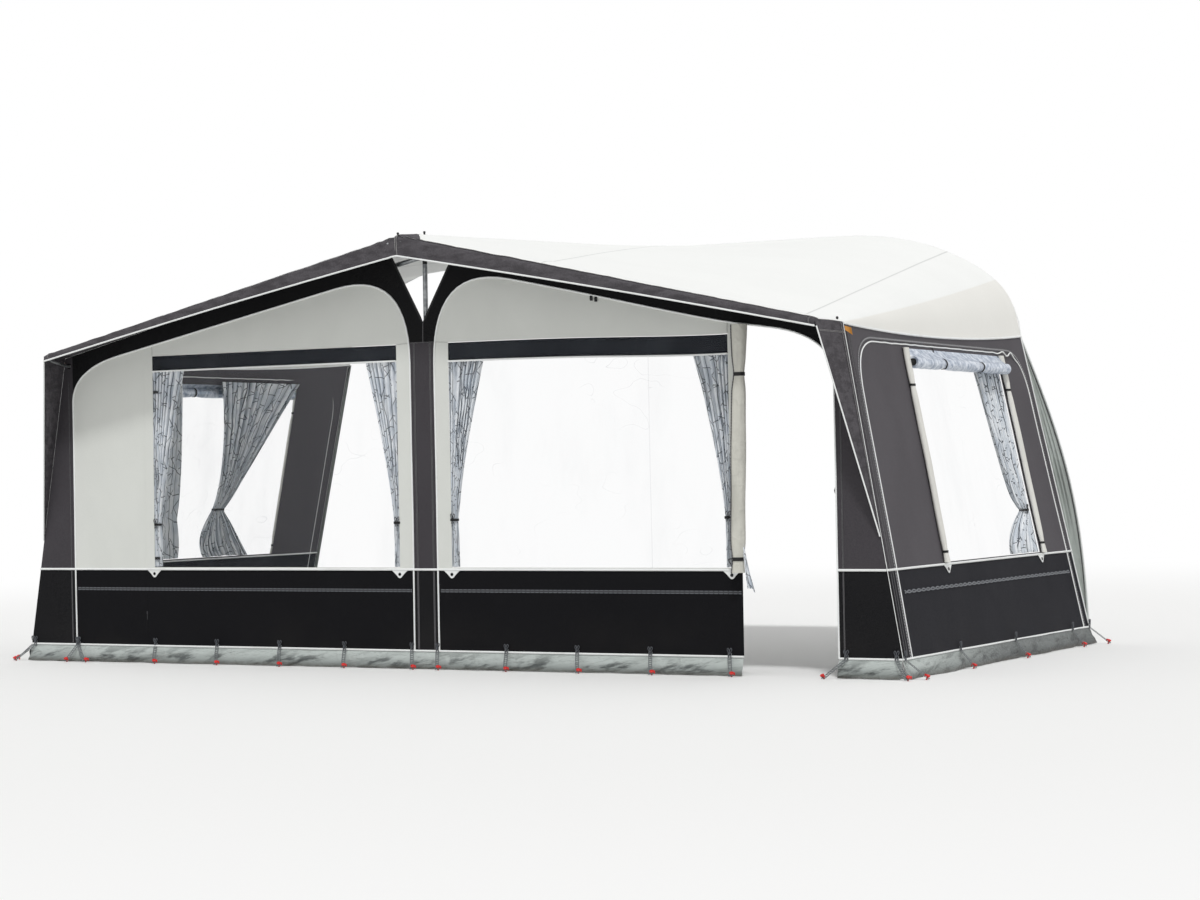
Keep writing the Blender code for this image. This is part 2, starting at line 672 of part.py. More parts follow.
def make_door_roll():
    sections = []
    for row in range(DOOR_ROLL_ROWS + 1):
        share = row / DOOR_ROLL_ROWS
        z = DOOR_ROLL_BOTTOM + (DOOR_ROLL_TOP - DOOR_ROLL_BOTTOM) * share
        waist = sum(math.exp(-((share - at) / DOOR_ROLL_STRAP_REACH_SHARE) ** 2)
                    for at in DOOR_ROLL_STRAP_SHARES)
        radius = DOOR_ROLL_RADIUS - DOOR_ROLL_WAIST * waist
        centre_x = DOOR_ZIP_HALF_WIDTH + DOOR_ROLL_OFFSET - DOOR_ROLL_LEAN * (1.0 - share)
        ring = []
        for step in range(DOOR_ROLL_SIDES):
            angle = FULL_TURN * step / DOOR_ROLL_SIDES
            swell = radius + DOOR_ROLL_LOBE * math.cos(DOOR_ROLL_LOBES * angle + DOOR_ROLL_LOBE_TWIST * share)
            ring.append(Vector((centre_x + swell * math.cos(angle), swell * math.sin(angle), z)))
        sections.append(ring)
    nearest = max(point.y for ring in sections for point in ring)
    for ring in sections:
        for point in ring:
            point.y -= nearest + HALF_CLOTH + FIT_GAP
    loft("door_panel_rolled", sections, "panel_cloth")


def make_front_blind(side, suffix):
    near = FOIL_THICKNESS / 2 + FIT_GAP
    high = WINDOW_TOP - FIT_GAP
    low = high - BLIND_HEIGHT
    sections = []
    corner = BLIND_DEPTH / 4
    section = [(near + corner, low), (near + BLIND_DEPTH - corner, low), (near + BLIND_DEPTH, low + corner),
               (near + BLIND_DEPTH, high - corner), (near + BLIND_DEPTH - corner, high),
               (near + corner, high), (near, high - corner), (near, low + corner)]
    for x in (WINDOW_INNER_X + BLIND_END_MARGIN, WINDOW_OUTER_X - BLIND_END_MARGIN):
        sections.append([(side * x, y, z) for y, z in section])
    return loft("front_blind_" + suffix, sections, "dark_cloth", smooth=False)


# Curtains
def blend_width(z, top, tie, bottom, widths):
    if z >= tie:
        share = (z - tie) / (top - tie)
        return widths[1] + (widths[0] - widths[1]) * share ** CURTAIN_EASE_SHARE
    share = (tie - z) / (tie - bottom)
    return widths[1] + (widths[2] - widths[1]) * math.sin(share * math.pi / 2)


def curtain_rows(top, bottom, tie, widths, anchor, direction, shift, surface, gap):
    columns = CURTAIN_FOLDS * CURTAIN_STEPS_PER_FOLD
    rows = []
    for row in range(CURTAIN_ROWS + 1):
        z = bottom + (top - bottom) * row / CURTAIN_ROWS
        width = blend_width(z, top, tie, bottom, widths)
        open_share = min(1.0, max(0.0, (width - widths[1]) / (widths[0] - widths[1])))
        depth = CURTAIN_TIE_FOLD_DEPTH + (CURTAIN_FOLD_DEPTH - CURTAIN_TIE_FOLD_DEPTH) * open_share
        line = []
        for column in range(columns + 1):
            share = column / columns
            u = anchor + direction * (shift(z) + width * share)
            fold = depth * (1.0 - math.cos(FULL_TURN * CURTAIN_FOLDS * share))
            line.append(surface(u, z, gap + CURTAIN_THICKNESS / 2 + fold))
        rows.append(line)
    return rows


def make_front_curtain(side, inner, suffix):
    top = WINDOW_TOP - BLIND_HEIGHT - FIT_GAP * 2.0
    anchor = WINDOW_INNER_X + CURTAIN_EDGE_MARGIN if inner else WINDOW_OUTER_X - CURTAIN_EDGE_MARGIN
    direction = side if inner else -side
    widths = (CURTAIN_TOP_WIDTH, CURTAIN_TIE_WIDTH, CURTAIN_BOTTOM_WIDTH)
    rows = curtain_rows(top, CURTAIN_BOTTOM, CURTAIN_TIE_HEIGHT, widths, side * anchor, direction,
                        lambda z: 0.0, lambda u, z, depth: (u, depth, z), FOIL_THICKNESS / 2 + FIT_GAP)
    grid_sheet("curtain_" + suffix, rows, "curtain_cloth", CURTAIN_THICKNESS)


def make_side_curtain(side, suffix):
    widths = SIDE_CURTAIN_WIDTHS[suffix]
    tie_offset = SIDE_CURTAIN_TIE_OFFSETS[suffix]
    foot_offset = SIDE_CURTAIN_FOOT_OFFSETS[suffix]

    def shift(z):
        if z >= CURTAIN_TIE_HEIGHT:
            return tie_offset * (SIDE_CURTAIN_TOP - z) / (SIDE_CURTAIN_TOP - CURTAIN_TIE_HEIGHT)
        share = (CURTAIN_TIE_HEIGHT - z) / (CURTAIN_TIE_HEIGHT - CURTAIN_BOTTOM)
        return tie_offset + (foot_offset - tie_offset) * share

    def surface(y, z, depth):
        return (side * (side_x(y, z) - depth), y, z)

    anchor = SIDE_WINDOW_REAR - CURTAIN_EDGE_MARGIN
    rows = curtain_rows(SIDE_CURTAIN_TOP, CURTAIN_BOTTOM, CURTAIN_TIE_HEIGHT, widths, anchor, -1.0,
                        shift, surface, HALF_CLOTH + SIDE_CURTAIN_GAP)
    grid_sheet("curtain_" + suffix, rows, "curtain_cloth", CURTAIN_THICKNESS)


# Side walls
def steps_between(low, high, step):
    count = max(1, round((high - low) / step))
    return [low + (high - low) * index / count for index in range(1, count)]


def side_cuts():
    return {"u": steps_between(SIDE_WALL_START, SIDE_WALL_END, SIDE_GRID_STEP),
            "v": steps_between(HEM_HEIGHT, EAVE_HEIGHT, SIDE_GRID_STEP)}


def side_zip_line(gap):
    radius = SIDE_ZIP_CORNER
    front = SIDE_ZIP_FRONT + gap
    rear = SIDE_ZIP_REAR - gap
    top = SIDE_ZIP_TOP - gap
    points = [(front, HEM_HEIGHT)]
    points += bezier((front, top - radius), (front, top), (front + radius, top), CORNER_POINTS)
    points += bezier((rear - radius, top), (rear, top), (rear, top - radius), CORNER_POINTS)
    points += [(rear, HEM_HEIGHT)]
    return points


def side_top_line():
    points = []
    for index in range(ROOF_ROWS + 1):
        share = index / ROOF_ROWS
        y = SIDE_WALL_START + (SIDE_WALL_END - SIDE_WALL_START) * share
        x, z = eave_point(y / WALL_DEPTH)
        under = underside(roof_panel, x - HALF_CLOTH, y, HALF_CLOTH / 2)
        points.append((y, min(under, z) - FIT_GAP - HALF_CLOTH * SIDE_SLOPE))
    return points


def make_side_frame(side, suffix):
    outline = [(SIDE_WALL_START, HEM_HEIGHT)] + side_zip_line(0.0)
    outline += [(SIDE_WALL_END, HEM_HEIGHT)] + list(reversed(side_top_line()))
    cloth_sheet("side_wall_frame_" + suffix, outline, [], side_place(side), "dark_cloth", cuts=side_cuts())


def side_window_outline(gap):
    return [(SIDE_WINDOW_FRONT + gap, WINDOW_BOTTOM + gap), (SIDE_WINDOW_REAR - gap, WINDOW_BOTTOM + gap),
            (SIDE_WINDOW_REAR - gap, SIDE_WINDOW_TOP - gap), (SIDE_WINDOW_FRONT + gap, SIDE_WINDOW_TOP - gap)]


def make_side_panel(side, suffix):
    cloth_sheet("side_wall_panel_" + suffix, side_zip_line(FIT_GAP), [side_window_outline(0.0)],
                side_place(side), "dark_cloth", cuts=side_cuts())


def make_side_window(side, suffix):
    cloth_sheet("side_window_" + suffix, side_window_outline(FIT_GAP), [], side_place(side),
                "clear_foil", FOIL_THICKNESS, cuts=side_cuts())


def make_side_blind(side, suffix):
    start = SIDE_WINDOW_FRONT - SIDE_BLIND_OVERRUN
    end = SIDE_WINDOW_REAR + SIDE_BLIND_OVERRUN
    out = HALF_CLOTH + FIT_GAP * 2.0 + SIDE_BLIND_RADIUS
    sections = []
    for row in range(SIDE_BLIND_ROWS + 1):
        share = row / SIDE_BLIND_ROWS
        y = start + (end - start) * share
        lean = math.atan(SIDE_SLOPE + (REAR_SLOPE - SIDE_SLOPE) * y / WALL_DEPTH)
        waist = sum(math.exp(-((share - at) / SIDE_BLIND_STRAP_REACH_SHARE) ** 2)
                    for at in SIDE_BLIND_STRAP_SHARES)
        radius = SIDE_BLIND_RADIUS - SIDE_BLIND_WAIST * waist
        centre_x = side_x(y, SIDE_BLIND_HEIGHT) + out / math.cos(lean)
        ring = []
        for step in range(SIDE_BLIND_SIDES):
            angle = FULL_TURN * step / SIDE_BLIND_SIDES + lean
            ring.append((side * (centre_x + radius * math.cos(angle)), y,
                         SIDE_BLIND_HEIGHT + radius * math.sin(angle)))
        sections.append(ring)
    loft("side_blind_" + suffix, sections, "silver_foil")


def make_draught_strip(side, suffix):
    y = WALL_DEPTH - HALF_CLOTH
    rows = []
    for row in range(DRAUGHT_ROWS + 1):
        share = row / DRAUGHT_ROWS
        z = DRAUGHT_FOOT + (RAIL_END_HEIGHT - CLOTH_THICKNESS * 2.0 - DRAUGHT_FOOT) * share
        inner = side_x(WALL_DEPTH, z) - DRAUGHT_UNDERLAP
        outer = rail_side_x(z) - RAIL_BEAD_RADIUS - FIT_GAP
        rows.append([(side * inner, y, z), (side * (inner + outer) / 2, y, z), (side * outer, y, z)])
    grid_sheet("draught_strip_" + suffix, rows, "draught_cloth", CLOTH_THICKNESS)


def rail_side_x(z):
    share = (RAIL_END_HEIGHT - z) / (RAIL_END_HEIGHT - HEM_HEIGHT)
    return side_x(WALL_DEPTH, z) + DRAUGHT_BULGE * math.sin(math.pi * min(1.0, max(0.0, share)))


def make_rail_bead():
    half = []
    for index in range(RAIL_FLAT_STEPS):
        half.append((RAIL_FLAT_HALF_WIDTH * index / RAIL_FLAT_STEPS, RAIL_TOP_HEIGHT))
    for index in range(RAIL_ARC_STEPS):
        half.append(rail_point(math.pi / 2 * index / RAIL_ARC_STEPS))
    for index in range(RAIL_SIDE_STEPS + 1):
        z = RAIL_END_HEIGHT + (DRAUGHT_FOOT - RAIL_END_HEIGHT) * index / RAIL_SIDE_STEPS
        half.append((rail_side_x(z), z))
    line = [(-x, z) for x, z in reversed(half[1:])] + half
    points = [(x, WALL_DEPTH, z) for x, z in line]
    swept("rail_bead", points, RAIL_BEAD_RADIUS, BEAD_SIDES, "white_trim", Vector((0.0, -1.0, 0.0)))


# Mud flaps and peg straps
def make_flap(name, start, end, outward):
    low = FLAP_SPLAY
    rows = []
    top_z = HEM_HEIGHT - FIT_GAP - HALF_CLOTH * SIDE_SLOPE
    for share in (0.0, 1.0):
        row = []
        for x, y in (start, end):
            reach = low * (1.0 - share)
            row.append((x + outward[0] * reach, y + outward[1] * reach, top_z * share))
        rows.append(row)
    bm = bmesh.new()
    inward = Vector((outward[0], outward[1], 0.0)) * -CLOTH_THICKNESS / 2
    corners = [Vector(rows[0][0]), Vector(rows[0][1]), Vector(rows[1][1]), Vector(rows[1][0])]
    front = [bm.verts.new(corner - inward) for corner in corners]
    back = [bm.verts.new(corner + inward) for corner in corners]
    bm.faces.new(front)
    bm.faces.new(list(reversed(back)))
    for index in range(4):
        other = (index + 1) % 4
        bm.faces.new((front[other], front[index], back[index], back[other]))
    add_object(name, bm, "flap_cloth")


def make_flaps():
    edge = HEM_HALF_WIDTH - FIT_GAP
    make_flap("mud_flap_front", (-edge, 0.0), (DOOR_ZIP_HALF_WIDTH, 0.0), (0.0, -1.0))
    make_flap("mud_flap_front_corner", (BAY_OUTER_HALF_WIDTH, 0.0), (edge, 0.0), (0.0, -1.0))
    for side, suffix in ((-1.0, "left"), (1.0, "right")):
        x = side * HEM_HALF_WIDTH
        make_flap("mud_flap_side_" + suffix, (x, SIDE_WALL_START), (x, SIDE_WALL_END), (side, 0.0))


def strap_tools(label, foot, outward, reach=LADDER_REACH):
    out = Vector((outward[0], outward[1], 0.0))
    across = Vector((-outward[1], outward[0], 0.0)) * LADDER_WIDTH / 2
    near = Vector((foot[0], foot[1], 0.0)) + out * TAPE_THICKNESS / 2
    top = near + Vector((0.0, 0.0, HEM_HEIGHT + TAPE_HEIGHT + LADDER_RISE))
    knee = near + Vector((0.0, 0.0, HEM_HEIGHT - LADDER_DROP))
    end = near + Vector((0.0, 0.0, STRAP_THICKNESS)) + out * reach
    thick = out * STRAP_THICKNESS
    rise = Vector((0.0, 0.0, STRAP_THICKNESS * 2.0))
    sections = []
    for point, depth in ((top, thick), (knee, thick), (end, rise)):
        sections.append([point - across, point + across, point + across + depth, point - across + depth])
    strap = loft(label + "_strap", sections, "dark_plastic", smooth=False)
    base = Vector((end.x, end.y, 0.0)) - out * (PEG_LEAN + PEG_RADIUS)
    tip = base + out * PEG_LEAN * 2.0 + Vector((0.0, 0.0, PEG_LENGTH))
    return [strap, peg_solid(label + "_peg", base, tip)]


def peg_solid(name, base, tip):
    bm = bmesh.new()
    rings = []
    head_low = base + (tip - base) * (1.0 - PEG_HEAD_HEIGHT / PEG_LENGTH)
    profile = ((base, PEG_RADIUS), (head_low, PEG_RADIUS),
               (head_low, PEG_HEAD_RADIUS), (tip, PEG_HEAD_RADIUS))
    for centre, radius in profile:
        ring = []
        for step in range(PEG_SIDES):
            angle = FULL_TURN * step / PEG_SIDES
            offset = Vector((radius * math.cos(angle), radius * math.sin(angle), 0.0))
            ring.append(bm.verts.new(centre + offset))
        rings.append(ring)
    for lower, upper in zip(rings, rings[1:]):
        for index in range(PEG_SIDES):
            other = (index + 1) % PEG_SIDES
            bm.faces.new((lower[index], lower[other], upper[other], upper[index]))
    bm.faces.new(list(reversed(rings[0])))
    bm.faces.new(rings[-1])
    return add_object(name, bm, "dark_plastic")


def tape_box(name, start, end, outward):
    inner = Vector((outward[0], outward[1], 0.0)) * (HALF_CLOTH + FIT_GAP)
    outer = inner + Vector((outward[0], outward[1], 0.0)) * TAPE_THICKNESS
    sections = []
    for z in (HEM_HEIGHT, HEM_HEIGHT + TAPE_HEIGHT):
        ring = []
        for corner, depth in ((start, inner), (end, inner), (end, outer), (start, outer)):
            ring.append((corner[0] + depth.x, corner[1] + depth.y, z))
        sections.append(ring)
    return loft(name, sections, "white_trim", smooth=False)


def make_peg_lines():
    face = HALF_CLOTH + FIT_GAP
    wrap = face + TAPE_THICKNESS
    front_start = -HEM_HALF_WIDTH + LADDER_WIDTH
    front = tape_box("peg_straps_front", (front_start, 0.0), (DOOR_ZIP_HALF_WIDTH, 0.0), (0.0, -1.0))
    run = DOOR_ZIP_HALF_WIDTH - front_start
    for index, share in enumerate(FRONT_LADDER_SHARES):
        for tool in strap_tools("front_%02d" % index, (front_start + run * share, -face), (0.0, -1.0)):
            join_solid(front, tool)
    for side, suffix in ((-1.0, "left"), (1.0, "right")):
        x = side * HEM_HALF_WIDTH
        line = tape_box("peg_straps_" + suffix, (x, -wrap), (x, SIDE_WALL_END), (side, 0.0))
        for index, share in enumerate(SIDE_LADDER_SHARES):
            y = SIDE_WALL_START + (SIDE_WALL_END - SIDE_WALL_START) * share
            reach = GUY_REACH if index in (0, len(SIDE_LADDER_SHARES) - 1) else LADDER_REACH
            for tool in strap_tools("%s_%02d" % (suffix, index), (x + side * face, y), (side, 0.0), reach):
                join_solid(line, tool)
    corner = tape_box("door_corner_tape", (BAY_OUTER_HALF_WIDTH, 0.0), (HEM_HALF_WIDTH + wrap, 0.0),
                      (0.0, -1.0))
    join_solid(line, corner)
    run = HEM_HALF_WIDTH - BAY_OUTER_HALF_WIDTH
    for index, share in enumerate(DOOR_LADDER_SHARES):
        x = BAY_OUTER_HALF_WIDTH + run * share
        for tool in strap_tools("corner_%02d" % index, (x, -face), (0.0, -1.0)):
            join_solid(line, tool)


# Pole frame
def hub(name, centre, arms):
    low = centre - Vector((0.0, 0.0, HUB_HALF_HEIGHT))
    high = centre + Vector((0.0, 0.0, HUB_HALF_HEIGHT))
    base = rod(name, low, high, HUB_RADIUS, "dark_plastic")
    for index, (end, radius) in enumerate(arms):
        join_solid(base, rod("%s_arm_%d" % (name, index), centre, end, radius, "dark_plastic"))


def socket_arms(centre, target):
    return [(along(centre, target, SOCKET_LENGTH), SOCKET_RADIUS),
            (along(centre, target, SOCKET_LENGTH + SPIGOT_LENGTH), SPIGOT_RADIUS)]


def pin_arm(centre):
    top = underside(roof_panel, centre.x, centre.y, PIN_RADIUS) - FIT_GAP
    return [(Vector((centre.x, centre.y, top)), PIN_RADIUS)]


def make_frame_poles():
    centre = Vector((0.0, FRAME_SETBACK, CENTRE_HUB_HEIGHT))
    rear_y = WALL_DEPTH - RAIL_HOOK_CLEARANCE - RAIL_HOOK_LENGTH
    rear_centre = Vector((0.0, rear_y, RAIL_TOP_HEIGHT - ROOF_POLE_REAR_DROP))
    seam_x, seam_z = rail_point(RAIL_SEAM_ANGLE)
    arm_y = -CANOPY_REACH + HALF_CLOTH + FIT_GAP + VERANDA_RADIUS * 2.0
    arm_tip = Vector((0.0, arm_y, CANOPY_FRONT_RIDGE - CENTRE_ARM_DROP))
    floor = Vector((0.0, FRAME_SETBACK, 0.0))
    arms = socket_arms(centre, floor) + socket_arms(centre, rear_centre) + pin_arm(centre)
    arms.append((arm_tip, CENTRE_ARM_RADIUS))
    corners = {}
    for side, suffix in ((-1.0, "left"), (1.0, "right")):
        corners[suffix] = Vector((side * CORNER_LEG_X, FRAME_SETBACK, CORNER_HUB_HEIGHT))
        arms += socket_arms(centre, corners[suffix])
    hub("centre_bracket", centre, arms)
    roof_pole("roof_pole_centre", centre, rear_centre)
    make_leg("centre", centre, 1.0)
    for side, suffix in ((-1.0, "left"), (1.0, "right")):
        corner = corners[suffix]
        rear = Vector((side * (seam_x - ROOF_POLE_REAR_INSET), rear_y, seam_z - ROOF_POLE_REAR_DROP))
        floor = Vector((corner.x, corner.y, 0.0))
        arms = pin_arm(corner)
        for target in (floor, centre, rear):
            arms += socket_arms(corner, target)
        hub("corner_bracket_" + suffix, corner, arms)
        inset = SOCKET_LENGTH + FIT_GAP
        tube("gable_pole_" + suffix, along(centre, corner, inset), along(corner, centre, inset),
             POLE_RADIUS, POLE_BORE, "pole_steel")
        roof_pole("roof_pole_" + suffix, corner, rear)
        make_leg(suffix, corner, -side)
        make_veranda_pole(side, suffix, corner)


def roof_pole(name, front, rear):
    start = along(front, rear, SOCKET_LENGTH + FIT_GAP)
    length = (rear - start).length
    cap = POLE_RADIUS
    profile = [(POLE_BORE, 0.0), (POLE_RADIUS, 0.0), (POLE_RADIUS, length),
               (RAIL_HOOK_RADIUS, length + cap / 2), (RAIL_HOOK_RADIUS, length + RAIL_HOOK_LENGTH)]
    turns = [FULL_TURN * k / POLE_SIDES for k in range(POLE_SIDES)]
    bm = bmesh.new()
    rings = []
    for radius, height in profile:
        rings.append([bm.verts.new((radius * math.cos(turn), radius * math.sin(turn), height))
                      for turn in turns])
    floor = [bm.verts.new((POLE_BORE * math.cos(turn), POLE_BORE * math.sin(turn), length - cap))
             for turn in turns]
    pairs = list(zip(rings, rings[1:])) + [(floor, rings[0])]
    for lower, upper in pairs:
        for index in range(POLE_SIDES):
            other = (index + 1) % POLE_SIDES
            bm.faces.new((lower[index], lower[other], upper[other], upper[index]))
    bm.faces.new(rings[-1])
    bm.faces.new(floor)
    add_object(name, bm, "pole_steel", start, rear - start, smooth=True)


def make_leg(suffix, top, knob_side):
    x, y = top.x, top.y
    high = top.z - SOCKET_LENGTH - FIT_GAP
    low = LEG_SPLIT_HEIGHT
    profile = [(CLAMP_RADIUS, 0.0), (CLAMP_RADIUS, CLAMP_HEIGHT),
               (POLE_RADIUS, CLAMP_HEIGHT + CLAMP_RADIUS / 4), (POLE_RADIUS, high - low),
               (POLE_BORE, high - low), (POLE_BORE, 0.0)]
    turned("leg_outer_" + suffix, profile, POLE_SIDES, "pole_steel", (x, y, low), closed=False)
    foot_top = FOOT_HEIGHT
    inner_low = foot_top + FIT_GAP
    inner_high = low + LEG_OVERLAP
    tube("leg_inner_" + suffix, (x, y, inner_low), (x, y, inner_high),
         TELESCOPE_RADIUS, TELESCOPE_RADIUS - POLE_WALL, "pole_steel")
    foot = [(FOOT_RADIUS, 0.0), (FOOT_RADIUS, FOOT_PLATE), (FOOT_NECK_RADIUS, FOOT_PLATE * 2.0),
            (FOOT_NECK_RADIUS, FOOT_HEIGHT)]
    turned("leg_foot_" + suffix, foot, POLE_SIDES, "dark_plastic", (x, y, 0.0))
    face = CLAMP_RADIUS + FIT_GAP
    place = (x + knob_side * face, y, low + CLAMP_HEIGHT / 2)
    knob = [(KNOB_STEM_RADIUS, 0.0), (KNOB_STEM_RADIUS, KNOB_STEM_LENGTH), (KNOB_RADIUS, KNOB_STEM_LENGTH),
            (KNOB_RADIUS, KNOB_STEM_LENGTH + KNOB_LENGTH)]
    turned("leg_knob_" + suffix, knob, KNOB_SIDES, "dark_plastic", place, (knob_side, 0.0, 0.0),
           KNOB_LOBE, KNOB_LOBES)


def make_veranda_pole(side, suffix, corner):
    front_y = -CANOPY_REACH + HALF_CLOTH + FIT_GAP + VERANDA_RADIUS
    drop = CANOPY_ROUNDING + VERANDA_RADIUS
    tip_x = CANOPY_FRONT_HALF_WIDTH - VERANDA_RADIUS - CLOTH_THICKNESS * 2.0
    near_x = CENTRE_ARM_RADIUS + VERANDA_RADIUS
    near = Vector((side * near_x, front_y, CANOPY_FRONT_RIDGE - drop))
    tip = Vector((side * tip_x, front_y, CANOPY_FRONT_TIP - drop))
    end = Vector((side * CORNER_LEG_X, corner.y - HUB_RADIUS - FIT_GAP, CORNER_HUB_HEIGHT))
    entry = end - Vector((0.0, VERANDA_ENTRY, 0.0))
    first = tip + (near - tip).normalized() * VERANDA_BEND_RADIUS
    last = tip + (entry - tip).normalized() * VERANDA_BEND_RADIUS
    points = [near]
    for step in range(BEND_STEPS + 1):
        t = step / BEND_STEPS
        points.append(first * (1 - t) ** 2 + tip * 2 * t * (1 - t) + last * t ** 2)
    points += [entry, end]
    swept("veranda_pole_" + suffix, points, VERANDA_RADIUS, VERANDA_SIDES, "pole_steel",
          Vector((0.0, -1.0, 0.0)))


def make_zip_slider():
    place = (-DOOR_ZIP_HALF_WIDTH, -HALF_CLOTH - FIT_GAP, SLIDER_HEIGHT)
    body = box("zip_slider_door", (-SLIDER_WIDTH / 2, -SLIDER_THICKNESS, 0.0),
               (SLIDER_WIDTH / 2, 0.0, SLIDER_LENGTH), "zip_metal", place)
    pull_front = -(SLIDER_THICKNESS + PULL_THICKNESS) / 2
    pull = box("zip_pull", (-PULL_WIDTH / 2, pull_front, -PULL_LENGTH),
               (PULL_WIDTH / 2, pull_front + PULL_THICKNESS, SLIDER_LENGTH / 3), "zip_metal", place)
    join_solid(body, pull)


clear_scene()
awning_origin = bpy.data.objects.new("awning_origin", None)
bpy.context.scene.collection.objects.link(awning_origin)
awning_origin.location = (0.0, FRONT_PLANE_Y, 0.0)

roof_panel = make_roof()
make_canopy()
make_front_frame()
make_closed_door()
make_door_roll()
for wall_side, wall_name in ((-1.0, "left"), (1.0, "right")):
    make_cheek(wall_side, wall_name)
    make_front_panel(wall_side, wall_name)
    make_front_window(wall_side, wall_name)
    make_front_blind(wall_side, wall_name)
    make_front_curtain(wall_side, True, "front_%s_inner" % wall_name)
    make_front_curtain(wall_side, False, "front_%s_outer" % wall_name)
    make_side_frame(wall_side, wall_name)
    make_side_panel(wall_side, wall_name)
    make_side_window(wall_side, wall_name)
    make_side_blind(wall_side, wall_name)
    make_side_curtain(wall_side, "side_" + wall_name)
    make_draught_strip(wall_side, wall_name)
make_rail_bead()
make_flaps()
make_peg_lines()
make_frame_poles()
make_zip_slider()
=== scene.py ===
import math
from functools import partial

import bpy
import numpy
from mathutils import Matrix, Vector, geometry, noise


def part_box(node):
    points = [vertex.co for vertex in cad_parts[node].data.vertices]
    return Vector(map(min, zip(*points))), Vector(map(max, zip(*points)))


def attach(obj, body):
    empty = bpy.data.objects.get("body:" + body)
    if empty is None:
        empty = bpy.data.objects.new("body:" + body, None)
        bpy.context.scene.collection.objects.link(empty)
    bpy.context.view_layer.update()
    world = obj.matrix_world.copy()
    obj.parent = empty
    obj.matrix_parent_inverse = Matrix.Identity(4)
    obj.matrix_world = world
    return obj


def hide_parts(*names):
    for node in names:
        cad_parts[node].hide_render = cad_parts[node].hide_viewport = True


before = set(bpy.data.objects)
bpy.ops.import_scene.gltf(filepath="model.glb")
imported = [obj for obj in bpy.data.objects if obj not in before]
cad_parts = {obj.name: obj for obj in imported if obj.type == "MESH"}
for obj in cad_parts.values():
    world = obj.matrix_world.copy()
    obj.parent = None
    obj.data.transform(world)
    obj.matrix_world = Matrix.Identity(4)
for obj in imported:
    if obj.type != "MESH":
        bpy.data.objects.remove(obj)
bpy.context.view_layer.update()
scene = bpy.context.scene
scene.view_settings.view_transform = "Standard"
print("stage: frame loaded,", len(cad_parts), "solids")


class Sizes(dict):  # a dictionary of settings, whose entries also read as names after a dot
    __getattr__ = dict.__getitem__


# Main measures of the awning, in metres, seen from the front wall's plane
awning = Sizes(
    hemX=2.98, hemZ=0.105, sillZ=0.578, eaveX=2.67, eaveZ=1.905, eaveSag=0.18, ridgeZ=2.53, depth=3.0,
    railFlatX=1.35, railEndX=2.564, railTopZ=2.64, railEndZ=1.94, railSeam=37.0, roofFlat=0.62,
    canopyX=2.625, canopyReach=0.26, canopyRidgeZ=2.50, canopyTipZ=1.915, valanceRidgeZ=2.39,
    valanceTipZ=1.878, columnX=0.085, bayX=2.615, doorX=2.05, archX=0.45, archZ=2.272, archOuterX=2.0,
    archOuterZ=1.955, innerCorner=(1.78, 0.60), outerCorner=(2.25, 1.62), windowX=(0.18, 1.985),
    windowZ=(0.590, 1.894), sideZip=(0.11, 2.92, 1.835, 0.28), sideWindowY=(0.88, 2.43),
    sideWindowZ=(0.590, 1.765), sideEnds=(0.0023, 2.9957), eyeletX=2.64, eyeletZ=1.852, eyelet=0.013,
    cheekFootZ=0.74, zipGap=0.0003, seamGap=0.0002,
)
sides = ((-1, "Left"), (1, "Right"))
wallLow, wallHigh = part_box("front_window_left")
wallY = (wallLow.y + wallHigh.y) / 2  # the front wall's plane in the shared frame
gableSlope = (awning.ridgeZ - awning.eaveZ) / awning.eaveX
sideSlope = (awning.hemX - awning.eaveX) / (awning.eaveZ - awning.hemZ)
rearSlope = (awning.hemX - awning.railEndX) / (awning.railEndZ - awning.hemZ)
archSlope = (awning.archZ - awning.archOuterZ) / (awning.archOuterX - awning.archX)


# Shares, waves and wrinkles
def mixed(a, b, share):
    return a + (b - a) * share


def eased(share):
    share = min(1.0, max(0.0, share))
    return share * share * (3.0 - 2.0 * share)


def peak(value, middle, reach):
    return math.exp(-((value - middle) / reach) ** 2)


def ripple(size, x, y, z):
    return size * noise.noise(Vector((x, y, z)))


def shares(count):
    return [k / count for k in range(count + 1)]


def turns(count):
    return [math.tau * k / count for k in range(count)]


def closed(points):
    return points + points[:1]


def middleOf(points):
    return sum(points, Vector()) / len(points)


# Curves of the awning
def gableZ(x):
    return awning.ridgeZ - gableSlope * abs(x)


def archZ(x):
    return awning.archZ - archSlope * (abs(x) - awning.archX)


def cornerX(z):
    return awning.hemX - sideSlope * (z - awning.hemZ)


def sideX(y, z):
    return awning.hemX - mixed(sideSlope, rearSlope, y / awning.depth) * (z - awning.hemZ)


def eaveZ(y):
    share = y / awning.depth
    return mixed(awning.eaveZ, awning.railEndZ, share) - awning.eaveSag * share * (1.0 - share)


def railPoint(angle):
    turn = math.radians(angle)
    x = mixed(awning.railFlatX, awning.railEndX, math.sin(turn))
    return x, mixed(awning.railEndZ, awning.railTopZ, math.cos(turn))


def railFromShare(share):
    if share <= awning.roofFlat:
        return awning.railFlatX * share / awning.roofFlat, awning.railTopZ
    return railPoint(awning.railSeam * (share - awning.roofFlat) / (1.0 - awning.roofFlat))


def bowed(start, control, end, count=14):
    return [tuple((1 - t) ** 2 * a + 2 * t * (1 - t) * b + t * t * c for a, b, c in zip(start, control, end))
            for t in shares(count)]


def innerCorner():
    startZ, endX = awning.innerCorner
    x = awning.columnX
    return bowed((x, startZ), (x, archZ(x)), (endX, archZ(endX)))


def outerCorner():
    startX, endZ = awning.outerCorner
    x = awning.bayX
    return bowed((startX, archZ(startX)), (x, archZ(x)), (x, endZ))


